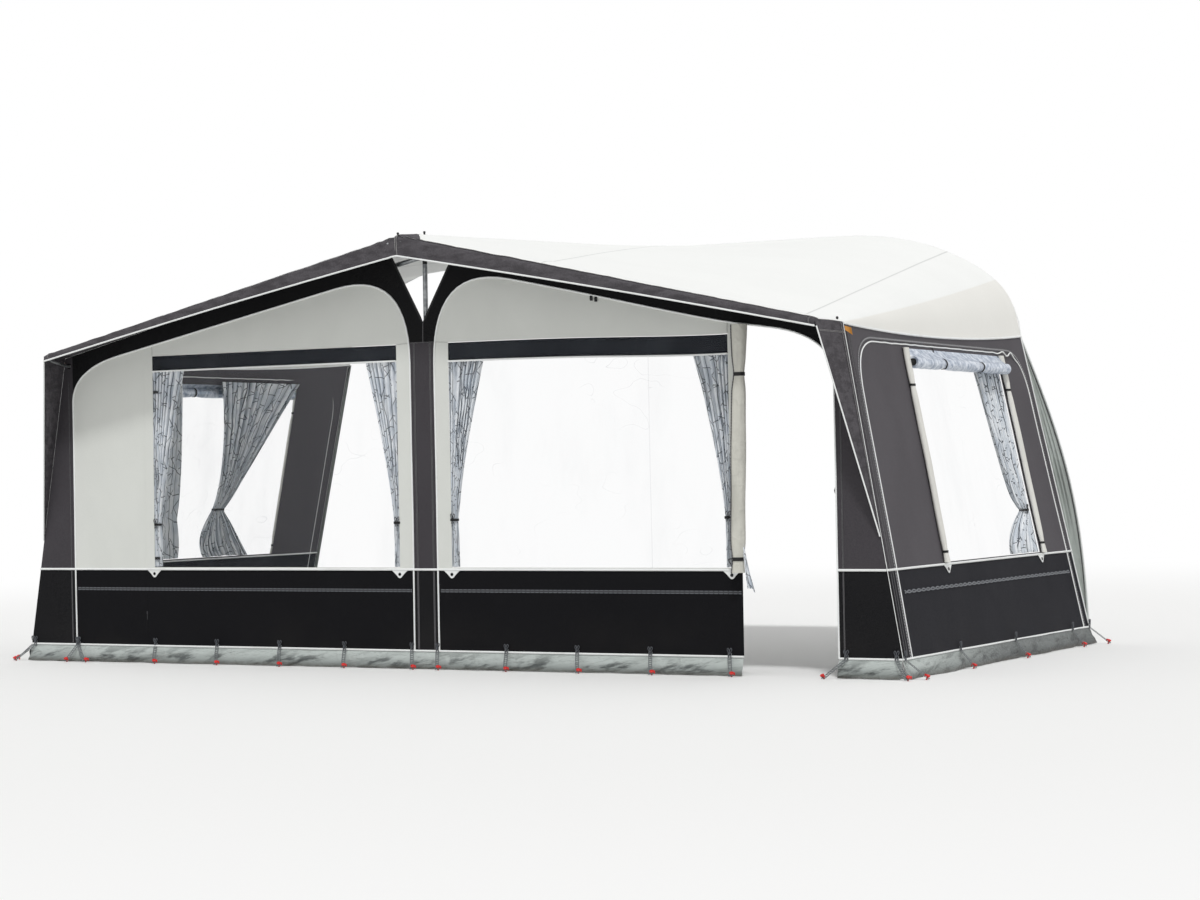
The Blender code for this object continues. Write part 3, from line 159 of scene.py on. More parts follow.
def bayLine():
    return [(awning.columnX, awning.hemZ)] + innerCorner() + outerCorner() + [(awning.bayX, awning.hemZ)]


def sideZipLine(gap=0.0):
    front, rear, top, radius = awning.sideZip
    front, rear, top = front + gap, rear - gap, top - gap
    line = [(front, awning.hemZ)] + bowed((front, top - radius), (front, top), (front + radius, top))
    return line + bowed((rear - radius, top), (rear, top), (rear, top - radius)) + [(rear, awning.hemZ)]


def circled(radius, count=24, x=0.0, z=0.0):
    return [(x + radius * math.cos(turn), z + radius * math.sin(turn)) for turn in turns(count)]


def boxed(across, heights):
    (x0, x1), (z0, z1) = across, heights
    return [(x0, z0), (x1, z0), (x1, z1), (x0, z1)]


def flipped(points, side):
    return [(side * x, z) for x, z in points]


def densified(points, step):
    line = []
    for start, end in zip(points, points[1:]):
        count = max(1, math.ceil(math.dist(start, end) / step))
        line += [tuple(mixed(a, b, k / count) for a, b in zip(start, end)) for k in range(count)]
    return line + [tuple(points[-1])]


def smoothLine(points, count=5):
    points = [Vector(p) for p in points]
    line = []
    for i in range(len(points) - 1):
        a, b, c, d = (points[min(max(i + k, 0), len(points) - 1)] for k in (-1, 0, 1, 2))
        for t in shares(count)[:-1]:
            bend = a - b * 2.5 + c * 2.0 - d / 2
            line.append(b + (c - a) * t / 2 + bend * t * t + ((b - c) * 1.5 + (d - a) / 2) * t ** 3)
    return line + [points[-1]]


# Soft hang of the walls, shared by all that is sewn or zipped to them
hang = Sizes(edge=0.22, top=0.16, wide=0.008, small=0.0025, sideEdge=0.2, sideWide=0.009, sideSmall=0.003,
             inward=0.004)
sag = Sizes(x=1.9, inner=0.75, outer=0.36, drop=0.024, foot=1.5, footFade=0.3, topFade=0.1)


def frontHang(x, z):
    fade = eased(min((cornerX(z) - abs(x)) / hang.edge, (gableZ(x) - z) / hang.top))
    return fade * (ripple(hang.wide, x * 1.4, 3.0, z * 0.9) + ripple(hang.small, x * 5.5, 9.0, z * 2.2))


def sideHang(side, y, z):
    fade = eased(min(y / hang.sideEdge, (awning.depth - y) / hang.sideEdge, (eaveZ(y) - z) / hang.top))
    small = ripple(hang.sideSmall, y * 5.0, 31.0 + side, z * 2.4)
    return fade * (ripple(hang.sideWide, y * 1.3, 20.0 + side, z * 0.9) + small - hang.inward)


def frontSag(x, z):  # the arch and the window's corner drop a little beside the rolled door
    across = peak(x, sag.x, sag.inner if x < sag.x else sag.outer)
    return sag.drop * across * eased((z - sag.foot) / sag.footFade) * eased((gableZ(x) - z) / sag.topFade)


def frontSpot(x, z, lift=0.0):
    return Vector((x, frontHang(x, z) - lift, z - frontSag(x, z)))


def sideSpot(side, y, z, lift=0.0):
    return Vector((side * (sideX(y, z) + sideHang(side, y, z) + lift), y, z))


def onFront(points, lift=0.0):
    return [frontSpot(x, z, lift) for x, z in densified(points, 0.04)]


def onSide(side, points, lift=0.0, step=0.05):
    return [sideSpot(side, y, z, lift) for y, z in densified(points, step)]


def sideFacing(side):
    return Vector((side, 0.0, sideSlope)).normalized()


# Materials
def tint(code):
    parts = [int(code[i:i + 2], 16) / 255 for i in (0, 2, 4)]
    return tuple(p / 12.92 if p <= 0.04045 else ((p + 0.055) / 1.055) ** 2.4 for p in parts) + (1.0,)


def nodeMaths(operation, reflected=False):
    def run(first, *others):
        values = others + (first,) if reflected else (first,) + others
        return first.finish.node("ShaderNodeMath", {"operation": operation}, dict(enumerate(values)))
    return run


class Socket:  # a value inside a material, on which Python's operators add Math nodes
    def __init__(self, finish, output):
        self.finish = finish
        self.output = output

    def step(self, low, high, start=0.0, end=1.0):
        return self.finish.node("ShaderNodeMapRange", {"interpolation_type": "SMOOTHSTEP", "clamp": True},
                                {"Value": self, 1: low, 2: high, 3: start, 4: end})

    __add__ = nodeMaths("ADD")
    __radd__ = nodeMaths("ADD")
    __sub__ = nodeMaths("SUBTRACT")
    __rsub__ = nodeMaths("SUBTRACT", True)
    __mul__ = nodeMaths("MULTIPLY")
    __rmul__ = nodeMaths("MULTIPLY")
    __truediv__ = nodeMaths("DIVIDE")
    __mod__ = nodeMaths("FLOORED_MODULO")
    __abs__ = nodeMaths("ABSOLUTE")
    sine = nodeMaths("SINE")
    root = nodeMaths("SQRT")
    capped = nodeMaths("MINIMUM")
    atLeast = nodeMaths("MAXIMUM")


class Finish:
    def __init__(self, name):
        self.material = bpy.data.materials.new(name)
        self.material.use_nodes = True
        self.tree = self.material.node_tree
        self.shader = self.tree.nodes["Principled BSDF"]

    def node(self, kind, settings=None, inputs=None, output=0):
        made = self.tree.nodes.new(kind)
        for key, value in (settings or {}).items():
            setattr(made, key, value)
        for key, value in (inputs or {}).items():
            self.feed(made.inputs[key], value)
        return Socket(self, made.outputs[output])

    def feed(self, socket, value):
        if isinstance(value, Socket):
            self.tree.links.new(value.output, socket)
        else:
            socket.default_value = tint(value) if isinstance(value, str) else value

    def coords(self, kind="Object"):
        return self.node("ShaderNodeTexCoord", output=kind)

    def split(self, vector):
        first = self.node("ShaderNodeSeparateXYZ", inputs={0: vector})
        return [Socket(self, output) for output in first.output.node.outputs]

    def joined(self, x, y, z=0.0):
        return self.node("ShaderNodeCombineXYZ", inputs={0: x, 1: y, 2: z})

    def stretched(self, vector, scale):
        return self.node("ShaderNodeVectorMath", {"operation": "MULTIPLY"}, {0: vector, 1: scale})

    def noise(self, vector, scale, detail=3.0, roughness=0.5):
        return self.node("ShaderNodeTexNoise", None,
                         {"Vector": vector, "Scale": scale, "Detail": detail, "Roughness": roughness})

    def creased(self, vector, scale, detail=2.0):
        return abs(self.noise(vector, scale, detail) - 0.5).step(0.0, 0.07)

    def mix(self, factor, first, second):
        return self.node("ShaderNodeMix", {"data_type": "RGBA"}, {0: factor, 6: first, 7: second}, 2)

    def relief(self, height, strength=1.0):
        bump = self.node("ShaderNodeBump", None, {"Height": height, "Distance": 1.0, "Strength": strength})
        self.feed(self.shader.inputs["Normal"], bump)

    def wear(self, **values):
        for name, value in values.items():
            self.feed(self.shader.inputs[name.replace("_", " ")], value)
        return self.material


def threads(across, along, period):
    turn = 2.0 * math.pi / period
    return (across * turn).sine() * (along * turn).sine()


clothLook = Sizes(heather=220.0, grainDepth=0.12, grainLift=0.12, dust=0.02, folds=3.2,
                  foldStretch=(1.0, 1.0, 0.5), foldDepth=0.006, foldShade=0.06, creases=1.7,
                  creaseDepth=0.0007, weave=0.0034, weaveDepth=0.00012, roughness=0.78, gloss=0.07)
# band is painted shade: its near-black stands for the canopy's shadow on the frame cloth under it, which is
# the same dark grey as the rest
wallZones = Sizes(column="454246", side="5b585c", skirt="121215", sideSkirt="26262b", band="0d0d0f",
                  panel="dcded9", seamZ=1.9, blur=0.004)
# outer is painted shade: the roof's side strip beyond the eave line, darker as it turns from the light. Of
# the two lines, the first is the seam over the rail's bend; the second is painted shade of the fold where
# the roof twists from gable to flat rail
roofZones = Sizes(cloth="f4f5f3", outer="ecebe6", seam="9c9e9c", seams=((0.125, 2.456), (0.235, 0.885)),
                  outerSlope=0.0893, seamShade=0.35)


def clothMaterial(name, colourAt=None, **changes):
    look = Sizes(clothLook, **changes)
    finish = Finish(name)
    spot = finish.coords()
    x, y, z = finish.split(spot)
    heather = finish.noise(spot, look.heather, 3.0, 0.7)
    mottle = finish.noise(spot, 2.3, 4.0)
    base = colourAt(finish, x, y, z) if colourAt else look.colour
    dark = finish.mix(look.grainDepth, base, "000000")
    light = finish.mix(look.grainDepth * look.grainLift, base, "ffffff")
    colour = finish.mix(heather.step(0.3, 0.7), dark, light)
    dust = z.step(0.42, 0.1) * mottle.step(0.35, 0.75) * look.dust
    colour = finish.mix(dust, colour, "8d877b")
    folds = finish.noise(finish.stretched(spot, look.foldStretch), look.folds, 3.0, 0.55)
    # painted shade: the colour darkens in the folds of the noise, as shade would lie in them
    colour = finish.mix(folds.step(0.62, 0.36) * look.foldShade, colour, "000000")
    height = (folds - 0.5) * look.foldDepth - finish.creased(spot, look.creases) * look.creaseDepth
    finish.relief(height + threads(x + y, z + y * 0.3, look.weave) * look.weaveDepth)
    rough = look.roughness + (mottle - 0.5) * 0.18 + (heather - 0.5) * 0.1
    return finish.wear(Base_Color=colour, Roughness=rough, Specular_IOR_Level=look.gloss)


def belowSill(z):
    return z.step(awning.sillZ + wallZones.blur, awning.sillZ - wallZones.blur)


def wallColour(finish, x, y, z):
    column = abs(x).step(awning.bayX + wallZones.blur, awning.bayX - wallZones.blur)
    upper = z.step(wallZones.seamZ - 0.003, wallZones.seamZ + 0.003)
    overArch = abs(x).step(awning.columnX + 0.012, awning.columnX + 0.014)
    beside = y.step(wallY + 0.03, wallY + 0.04)
    # painted shade: round the arches and on the column above the cross seam, the frame cloth takes the band
    # colour as the canopy's shadow
    band = (column * upper.atLeast(overArch)) * (1.0 - beside)
    colour = finish.mix(band, finish.mix(beside, wallZones.column, wallZones.side), wallZones.band)
    return finish.mix(belowSill(z), colour, finish.mix(beside, wallZones.skirt, wallZones.sideSkirt))


def panelColour(finish, x, y, z):
    return finish.mix(belowSill(z), wallZones.panel, wallZones.skirt)


def roofColour(finish, x, y, z):
    depth = y - wallY
    # painted shade: the side strip beyond the eave line and a fold line across the roof are painted darker
    outer = (abs(x) + depth * roofZones.outerSlope).step(awning.eaveX - 0.004, awning.eaveX + 0.006)
    outerSeam, foldShadeLine = (abs(abs(x) + depth * slope - start).step(0.009, 0.003)
                            for slope, start in roofZones.seams)
    cloth = finish.mix(outer, roofZones.cloth, roofZones.outer)
    return finish.mix(outerSeam.atLeast(foldShadeLine) * roofZones.seamShade, cloth, roofZones.seam)


def foilMaterial():
    look = Sizes(colour="6f7c86", pale="99a3ab", seeThrough=0.02, haze=0.03, scratch=0.08, fold=0.0016,
                 scratchDepth=0.0004, crease=0.07, creaseX=1.49)
    finish = Finish("clearFoil")
    spot = finish.coords()
    x, _, _ = finish.split(spot)
    streaks = finish.noise(finish.stretched(spot, (1.0, 1.0, 0.35)), 3.0, 4.0, 0.6)
    lines = abs(finish.noise(finish.stretched(spot, (1.0, 1.0, 1.7)), 4.6, 1.0) - 0.5).step(0.006, 0.0)
    scratches = lines * finish.noise(spot, 2.6, 2.0).step(0.52, 0.66)
    finish.relief((streaks - 0.5) * look.fold - scratches * look.scratchDepth)
    # the streaks cloud and lighten the foil: partly milky smudges in it, partly painted reflection streaks
    alpha = look.seeThrough + streaks.step(0.45, 0.8) * look.haze + scratches * look.scratch
    alpha = alpha + abs(x - look.creaseX).step(0.004, 0.001) * look.crease
    return finish.wear(Base_Color=finish.mix(streaks, look.colour, look.pale), Alpha=alpha,
                       Roughness=0.07 + finish.noise(spot, 40.0) * 0.06, Specular_IOR_Level=0.5)


def curtainMaterial():
    # ground is the print's ground in shade and light is the same ground lit: painted light and shade
    look = Sizes(ground="ccd3db", light="edf0f3", line="2e333d")
    finish = Finish("printedCurtain")
    u, v, _ = finish.split(finish.coords("UV"))
    drift = finish.noise(finish.joined(u * 3.0, v * 3.0), 1.4, 1.0) - 0.5
    # Rows of the print: along, across, bend, half width, length and gap of a twig
    twigs = ((21.0, 0.7, 1.6, 0.075, 0.0, 1.0), (9.0, -6.0, 0.8, 0.035, 3.1, 0.46),
             (8.0, 7.5, -0.9, 0.035, 4.3, 0.42), (3.0, -11.0, 1.2, 0.04, 5.7, 0.30),
             (4.0, 12.0, 0.6, 0.04, 6.9, 0.26))
    lines = 0.0
    for along, across, bend, half, length, share in twigs:
        cell = abs((u * along + v * across + drift * bend + along * 0.13) % 1.0 - 0.5)
        twig = cell.step(half, half * 0.45)
        if share < 1.0:
            piece = (v * length + u * 5.0 + drift * 2.0) % 1.0
            twig = twig * piece.step(share + 0.02, share - 0.02)
        lines = twig.atLeast(lines)
    # painted light and shade: noise patches switch the ground between its shaded and its lit colour
    litAndShadedPatches = finish.noise(finish.joined(u * 2.0, v), 7.0).step(0.35, 0.65)
    colour = finish.mix(lines * 0.9, finish.mix(litAndShadedPatches, look.ground, look.light), look.line)
    finish.relief(threads(u, v, 0.002) * 0.0001 + finish.noise(finish.joined(u, v), 60.0) * 0.0003)
    return finish.wear(Base_Color=colour, Roughness=0.82, Specular_IOR_Level=0.1)


def silverMaterial():
    finish = Finish("silverFoil")
    spot = finish.coords()
    crinkle = finish.noise(spot, 26.0, 5.0, 0.65)
    finish.relief(crinkle * 0.004 - finish.creased(spot, 17.0) * 0.0012)
    # painted highlight and shade: the colour follows the crinkles' height, pale on their crests and dark in
    # their hollows
    return finish.wear(Base_Color=finish.mix(crinkle.step(0.35, 0.65), "8d9bb0", "dfe5ee"),
                       Roughness=0.22 + crinkle * 0.22, Metallic=0.35, Specular_IOR_Level=0.7)


def flapMaterial():
    finish = Finish("flapSheet")
    spot = finish.coords()
    x, y, z = finish.split(spot)
    folds = finish.noise(finish.joined(x - z * 1.7, y - z * 1.7, z * 2.2), 5.5, 4.0, 0.62)
    finish.relief((folds - 0.5) * 0.03 - finish.creased(spot, 8.0) * 0.002, 0.9)
    colour = finish.mix(z.step(0.0, 0.075), "747a78", "b4bbb8")
    # painted shade: the folds darken, and a dark line under the hem piping stands for its shadow
    paintedFoldShadow = folds.step(0.52, 0.36) * z.step(awning.hemZ, 0.03, 0.25, 0.9)
    colour = finish.mix(paintedFoldShadow.atLeast(z.step(0.093, 0.101) * 0.6), colour, "353a3a")
    # painted shadow: the side flaps darken towards the rear
    colour = finish.mix(y.step(wallY + 0.1, wallY + 1.6) * 0.75, colour, "3b3e3f")
    colour = finish.mix(z.step(0.035, 0.0) * finish.noise(spot, 30.0), colour, "4b463c")
    return finish.wear(Base_Color=colour, Roughness=0.42 + folds * 0.2, Specular_IOR_Level=0.45)


def trimMaterial(name, colour, roughness, grain=90.0, dirt="8f8b80", dirtShare=0.18, **extra):
    finish = Finish(name)
    spot = finish.coords()
    fine = finish.noise(spot, grain, 4.0, 0.6)
    finish.relief(fine * 0.0003)
    colour = finish.mix(finish.noise(spot, 6.0).step(0.5, 0.8) * dirtShare, colour, dirt)
    return finish.wear(Base_Color=colour, Roughness=roughness + (fine - 0.5) * 0.2, **extra)


def tapeMaterial(name, cloth, thread, rows=(0.2, 0.8), pitch=0.006, width=0.09):
    finish = Finish(name)
    u, v, _ = finish.split(finish.coords("UV"))
    stitch = abs((v / pitch) % 1.0 - 0.5).step(0.42, 0.34)
    line = stitch * abs(u - rows[0]).capped(abs(u - rows[1])).step(width, width * 0.5)
    grain = finish.noise(finish.coords(), 260.0, 2.0)
    finish.relief(line * 0.0005 + grain * 0.0002)
    return finish.wear(Base_Color=finish.mix(line, finish.mix(grain * 0.3, cloth, "000000"), thread),
                       Roughness=0.75 + grain * 0.1)


def zipMaterial():
    finish = Finish("zipChain")
    u, v, _ = finish.split(finish.coords("UV"))
    teeth = abs(((v / 0.016) % 1.0) - 0.5).step(0.32, 0.2) * abs(u - 0.5).step(0.24, 0.18)
    finish.relief(teeth * 0.001 + finish.noise(finish.coords(), 200.0, 2.0) * 0.0002)
    return finish.wear(Base_Color=finish.mix(teeth, "38373a", "a2a1a4"), Roughness=0.6 - teeth * 0.2,
                       Metallic=teeth * 0.2)


def steelMaterial():
    finish = Finish("poleSteel")
    spot = finish.coords()
    brushed = finish.noise(finish.stretched(spot, (60.0, 60.0, 3.0)), 3.0)
    spangle = finish.noise(spot, 35.0, 2.0)
    finish.relief(brushed * 0.0002)
    return finish.wear(Base_Color=finish.mix(spangle.step(0.35, 0.65), "8a8d90", "b3b6b8"), Metallic=0.85,
                       Roughness=0.3 + brushed * 0.15 + spangle * 0.08)


looks = {
    "roof": clothMaterial("roofCoatedCloth", roofColour, heather=120.0, grainDepth=0.02, dust=0.0, folds=2.2,
                          foldStretch=(0.6, 1.4, 1.0), foldShade=0.012, roughness=0.62),
    "canopy": clothMaterial("canopyCloth", colour="575458", heather=180.0, grainDepth=0.2, folds=8.0,
                            foldStretch=(1.0, 2.0, 3.2), foldDepth=0.008, foldShade=0.3, creases=7.0,
                            creaseDepth=0.0018, dust=0.0),
    "wall": clothMaterial("wallCloth", wallColour),
    "panel": clothMaterial("panelCloth", panelColour, grainDepth=0.03, foldDepth=0.005, foldShade=0.03),
    "roll": clothMaterial("rolledPanelCloth", colour="cfcec5", grainDepth=0.03, folds=14.0,
                          foldStretch=(1.0, 1.0, 0.35), foldShade=0.12, creases=9.0, creaseDepth=0.0015),
    "blind": clothMaterial("blindCloth", colour="1d1f26", folds=6.0, foldStretch=(1.6, 1.0, 0.4)),
    "draught": clothMaterial("draughtCloth", colour="b7beb9", grainDepth=0.05, folds=9.0, creases=6.0,
                             foldStretch=(1.0, 1.0, 0.25), foldDepth=0.01, foldShade=0.2,
                             creaseDepth=0.0015),
    "cream": clothMaterial("creamFlapCloth", colour="e2e1db", grainDepth=0.03, folds=16.0,
                           foldStretch=(1.0, 1.0, 0.3), foldDepth=0.004),
    "foil": foilMaterial(),
    "curtain": curtainMaterial(),
    "silver": silverMaterial(),
    "flap": flapMaterial(),
    "piping": trimMaterial("whitePiping", "eef0ef", 0.42),
    "strap": trimMaterial("blackWebbing", "0c0c0e", 0.7, grain=400.0, dirt="2c2b29"),
    "plastic": trimMaterial("darkPlastic", "141416", 0.5, grain=300.0, dirt="3a3936"),
    "cap": trimMaterial("whitePlastic", "e9ebea", 0.38),
    "red": trimMaterial("redPlastic", "d4231f", 0.4, dirt="6d1a14"),
    "orange": trimMaterial("orangeTab", "c98a3a", 0.6),
    "ladder": trimMaterial("greyLadderRubber", "6a6e70", 0.5, grain=200.0, dirt="2f302f"),
    "cord": trimMaterial("darkCord", "484b50", 0.7, grain=300.0, dirt="1c1d1f"),
    "metal": trimMaterial("zipMetal", "26262a", 0.45, grain=250.0, dirt="4a4a4e", Metallic=0.4),
    "darkTape": tapeMaterial("darkStitchedTape", "2b2b2f", "8e8c8d"),
    "skirtTape": tapeMaterial("skirtStitchedTape", "3d3f43", "787b80", (0.08, 0.92), 0.03, 0.1),
    "skirtBraid": tapeMaterial("skirtBraid", "6b6e73", "9a9da1", (0.25, 0.75), 0.02, 0.12),
    "wallTape": tapeMaterial("wallStitchedTape", "4a484b", "b9b7b6"),
    "panelTape": tapeMaterial("panelStitchedTape", "c9cbc6", "f1f1ee"),
    "zip": zipMaterial(),
    "steel": steelMaterial(),
}
print("stage: materials made,", len(looks))


# Mesh builders
def worn(made, node=None):
    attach(made, "awning")
    if node:
        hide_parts(node)
    return made


def meshPiece(name, points, faces, corners, look, node=None):
    mesh = bpy.data.meshes.new(name)
    mesh.from_pydata([(p[0], p[1] + wallY, p[2]) for p in points], [], faces)
    layer = mesh.uv_layers.new(name="flatCoords")
    for loop in mesh.loops:
        layer.data[loop.index].uv = corners[loop.vertex_index]
    mesh.materials.append(looks[look])
    mesh.shade_smooth()
    mesh.set_sharp_from_angle(angle=math.radians(50.0))
    made = bpy.data.objects.new(name, mesh)
    scene.collection.objects.link(made)
    return worn(made, node)


def walled(made, thickness):
    uses = numpy.bincount([loop.edge_index for loop in made.data.loops], minlength=len(made.data.edges))
    for edge in made.data.edges:
        if uses[edge.index] == 1:  # a hard rim keeps the cloth's faces evenly lit
            edge.use_edge_sharp = True
    wall = made.modifiers.new("clothWall", "SOLIDIFY")
    wall.thickness = thickness
    wall.offset = 0.0
    return made


def gridPiece(name, rows, look, thickness=0.0016, node=None, flat=None):
    count = len(rows[0])
    faces = [(a, a + 1, a + count + 1, a + count)
             for r in range(len(rows) - 1) for a in range(r * count, (r + 1) * count - 1)]
    corners = []
    for r, row in enumerate(rows):
        reach = 0.0
        for c in range(count):
            reach += (row[c] - row[c - 1]).length if c else 0.0
            corners.append(flat(r, c) if flat else (reach, row[c].z))
    return walled(meshPiece(name, [p for row in rows for p in row], faces, corners, look, node), thickness)


def insideOf(points, loops):
    inside = numpy.zeros(len(points), bool)
    for loop in loops:
        for (ax, ay), (bx, by) in zip(loop, loop[1:] + loop[:1]):
            crosses = (ay > points[:, 1]) != (by > points[:, 1])
            gap = (by - ay) if by != ay else 1.0
            inside ^= crosses & (points[:, 0] < (bx - ax) * (points[:, 1] - ay) / gap + ax)
    return inside


def farFrom(points, loops, reach):
    clear = numpy.ones(len(points), bool)
    for loop in loops:
        for start, end in zip(loop, loop[1:] + loop[:1]):
            start, run = numpy.array(start), numpy.array(end) - numpy.array(start)
            share = numpy.clip(((points - start) @ run) / max(float(run @ run), 1e-12), 0.0, 1.0)
            clear &= numpy.hypot(*(points - start - share[:, None] * run).T) > reach
    return clear


cutting = Sizes(rowShare=0.87, clearShare=0.5, sliver=1e-6)  # triangles under a sliver's area are left out


def cutSheet(name, outline, holes, place, look, node=None, step=0.035, thickness=0.0016):
    loops = [densified(closed(loop), step)[:-1] for loop in [outline] + holes]
    border = numpy.array([p for loop in loops for p in loop])
    low, high = border.min(0), border.max(0)
    inner = []
    for row, v in enumerate(numpy.arange(low[1], high[1], step * cutting.rowShare)):
        shift = step / 2 if row % 2 else 0.0
        inner += [(u, v) for u in numpy.arange(low[0] + shift, high[0], step)]
    inner = numpy.array(inner)
    inner = inner[insideOf(inner, loops) & farFrom(inner, loops, step * cutting.clearShare)]
    edges, start = [], 0
    for loop in loops:
        edges += [(start + k, start + (k + 1) % len(loop)) for k in range(len(loop))]
        start += len(loop)
    spots = [Vector(p) for p in numpy.vstack((border, inner)).tolist()]
    flat, _, faces, _, _, _ = geometry.delaunay_2d_cdt(spots, edges, [], 0, 1e-6)
    middles = numpy.array([sum((flat[i] for i in face), Vector((0.0, 0.0))) / len(face) for face in faces])
    kept = [face for face, keep in zip(faces, insideOf(middles, loops))
            if keep and geometry.area_tri(*(flat[i].to_3d() for i in face)) > cutting.sliver]
    used = sorted({i for face in kept for i in face})
    index = {old: new for new, old in enumerate(used)}
    made = meshPiece(name, [place(flat[i].x, flat[i].y) for i in used],
                     [[index[i] for i in face] for face in kept], [tuple(flat[i]) for i in used], look, node)
    return walled(made, thickness)


def tubePiece(name, rings, look, node=None):
    count, last = len(rings[0]), len(rings) * len(rings[0])
    faces = []
    for start in range(0, last - count, count):
        for k in range(count):
            a, b = start + k, start + (k + 1) % count
            faces.append((a, b, b + count, a + count))
    faces += [tuple(range(count - 1, -1, -1)), tuple(range(last - count, last))]
    corners = [(k / count, r / len(rings)) for r in range(len(rings)) for k in range(count)]
    made = meshPiece(name, [p for ring in rings for p in ring], faces, corners, look, node)
    bpy.ops.object.select_all(action="DESELECT")
    made.select_set(True)
    bpy.context.view_layer.objects.active = made
    bpy.ops.object.mode_set(mode="EDIT")
    bpy.ops.mesh.select_all(action="SELECT")
    bpy.ops.mesh.normals_make_consistent(inside=False)
    bpy.ops.object.mode_set(mode="OBJECT")
    return made


def sweep(name, paths, section, look, facing=(0.0, -1.0, 0.0), node=None):
    points, faces, corners = [], [], []
    count = len(section)
    widest = max(abs(across) for across, _ in section)
    for path in paths:
        path = [Vector(p) for p in path]
        looped = (path[0] - path[-1]).length < 1e-5
        if looped:
            path.pop()
        rings, start, reach = len(path), len(points), 0.0
        for i, point in enumerate(path):
            reach += (point - path[i - 1]).length if i else 0.0
            before = path[i - 1] if i or looped else point
            after = path[(i + 1) % rings] if i + 1 < rings or looped else point
            run = (after - before).normalized()
            out = Vector(facing(point) if callable(facing) else facing)
            out = (out - run * out.dot(run)).normalized()
            across = run.cross(out)
            points += [point + across * a + out * o for a, o in section]
            corners += [(a / widest / 2 + 0.5, reach) for a, _ in section]
        for i in range(rings if looped else rings - 1):
            for k in range(count):
                a, b = start + i * count, start + (i + 1) % rings * count
                faces.append((a + k, b + k, b + (k + 1) % count, a + (k + 1) % count))
        if not looped:
            last = start + (rings - 1) * count
            faces.append(tuple(range(start, start + count)))
            faces.append(tuple(range(last + count - 1, last - 1, -1)))
    return meshPiece(name, points, faces, corners, look, node)


raised = Sizes(pipe=0.003, tape=0.001)  # how far pipings and tapes stand out from the cloth


def cord(name, lines, radius, look, facing=(0.0, -1.0, 0.0), sides=6):
    return sweep(name, lines, circled(radius, sides), look, facing)


def piping(name, lines, radius, facing=(0.0, -1.0, 0.0), sides=8):
    return cord(name, lines, radius, "piping", facing, sides)


def tape(name, lines, width, look, facing=(0.0, -1.0, 0.0), node=None, thickness=0.0012):
    return sweep(name, lines, boxed((-width / 2, width / 2), (0.0, thickness)), look, facing, node)


def frontPiping(name, runs, radius):
    return piping(name, [onFront(run, raised.pipe) for run in runs], radius)


def frontTape(name, runs, width, look="darkTape", thickness=0.0012):
    return tape(name, [onFront(run, raised.tape) for run in runs], width, look,
                thickness=thickness)


def strapRound(name, ring, centre, growth, width, thickness=0.0018):
    band = closed([centre + (p - centre) * growth for p in ring])
    return tape(name, [band], width, "strap", lambda p: p - centre, thickness=thickness)


# A bow of thin cord: across, up and out, in millimetres
bowShape = [(-13, -30, 6), (-5, -8, 9), (0, 0, 11), (12, 16, 9), (20, 36, 7), (11, 46, 8), (2, 26, 10),
            (0, 4, 12), (-2, 26, 10), (-11, 46, 8), (-20, 36, 7), (-12, 16, 9), (0, 0, 11), (5, -8, 9),
            (13, -30, 6)]


def bowLine(spot, across, out, size=1.0):
    rise = Vector((0.0, 0.0, 1.0))
    return smoothLine([spot + (across * u + rise * v + out * w) * size / 1000 for u, v, w in bowShape], 4)


# Rigid pieces, modelled round the Z axis from a cylinder, by growing chosen faces step by step
def rigidModel(name, look, vertices, radius, height, steps, bevel):
    bpy.ops.object.select_all(action="DESELECT")
    bpy.ops.mesh.primitive_cylinder_add(vertices=vertices, radius=radius, depth=height,
                                        location=(0.0, 0.0, height / 2))
    made = bpy.context.object
    made.name = name
    bpy.ops.object.transform_apply(location=True, rotation=False, scale=False)
    made.data.materials.append(looks[look])
    bpy.ops.object.mode_set(mode="EDIT")
    bpy.ops.mesh.select_mode(type="FACE")
    for test, move, scale in steps:
        grown(made, test, move, scale)
    bpy.ops.mesh.select_all(action="SELECT")
    bpy.ops.mesh.remove_doubles(threshold=1e-5)
    bpy.ops.mesh.normals_make_consistent(inside=False)
    bpy.ops.object.mode_set(mode="OBJECT")
    edges = made.modifiers.new("softEdges", "BEVEL")
    edges.width, edges.segments, edges.limit_method = bevel, 2, "ANGLE"
    bpy.ops.object.modifier_apply(modifier=edges.name)
    bpy.ops.object.shade_smooth_by_angle(angle=math.radians(40.0))
    return made


def grown(made, test, move, scale):
    bpy.ops.mesh.select_all(action="DESELECT")
    bpy.ops.object.mode_set(mode="OBJECT")
    chosen = [face for face in made.data.polygons if test(face.center, face.normal)]
    middle = middleOf([face.center for face in chosen]) + Vector(move)
    for face in chosen:
        face.select = True
    bpy.ops.object.mode_set(mode="EDIT")
    bpy.ops.mesh.extrude_region_move(TRANSFORM_OT_translate={"value": move})
    bpy.ops.transform.resize(value=(scale, scale, scale), center_override=tuple(middle))


def topFace(height):
    return lambda centre, normal: normal.z > 0.9 and centre.z > height


def placed(master, name, spot, axis=(0.0, 0.0, 1.0), turn=0.0):
    matrix = Matrix.Translation(Vector(spot) + Vector((0.0, wallY, 0.0)))
    matrix = matrix @ Vector(axis).normalized().to_track_quat("Z", "X").to_matrix().to_4x4()
    mesh = master.data.copy()
    mesh.transform(matrix @ Matrix.Rotation(math.radians(turn), 4, "Z"))
    made = bpy.data.objects.new(name, mesh)
    scene.collection.objects.link(made)
    return worn(made)


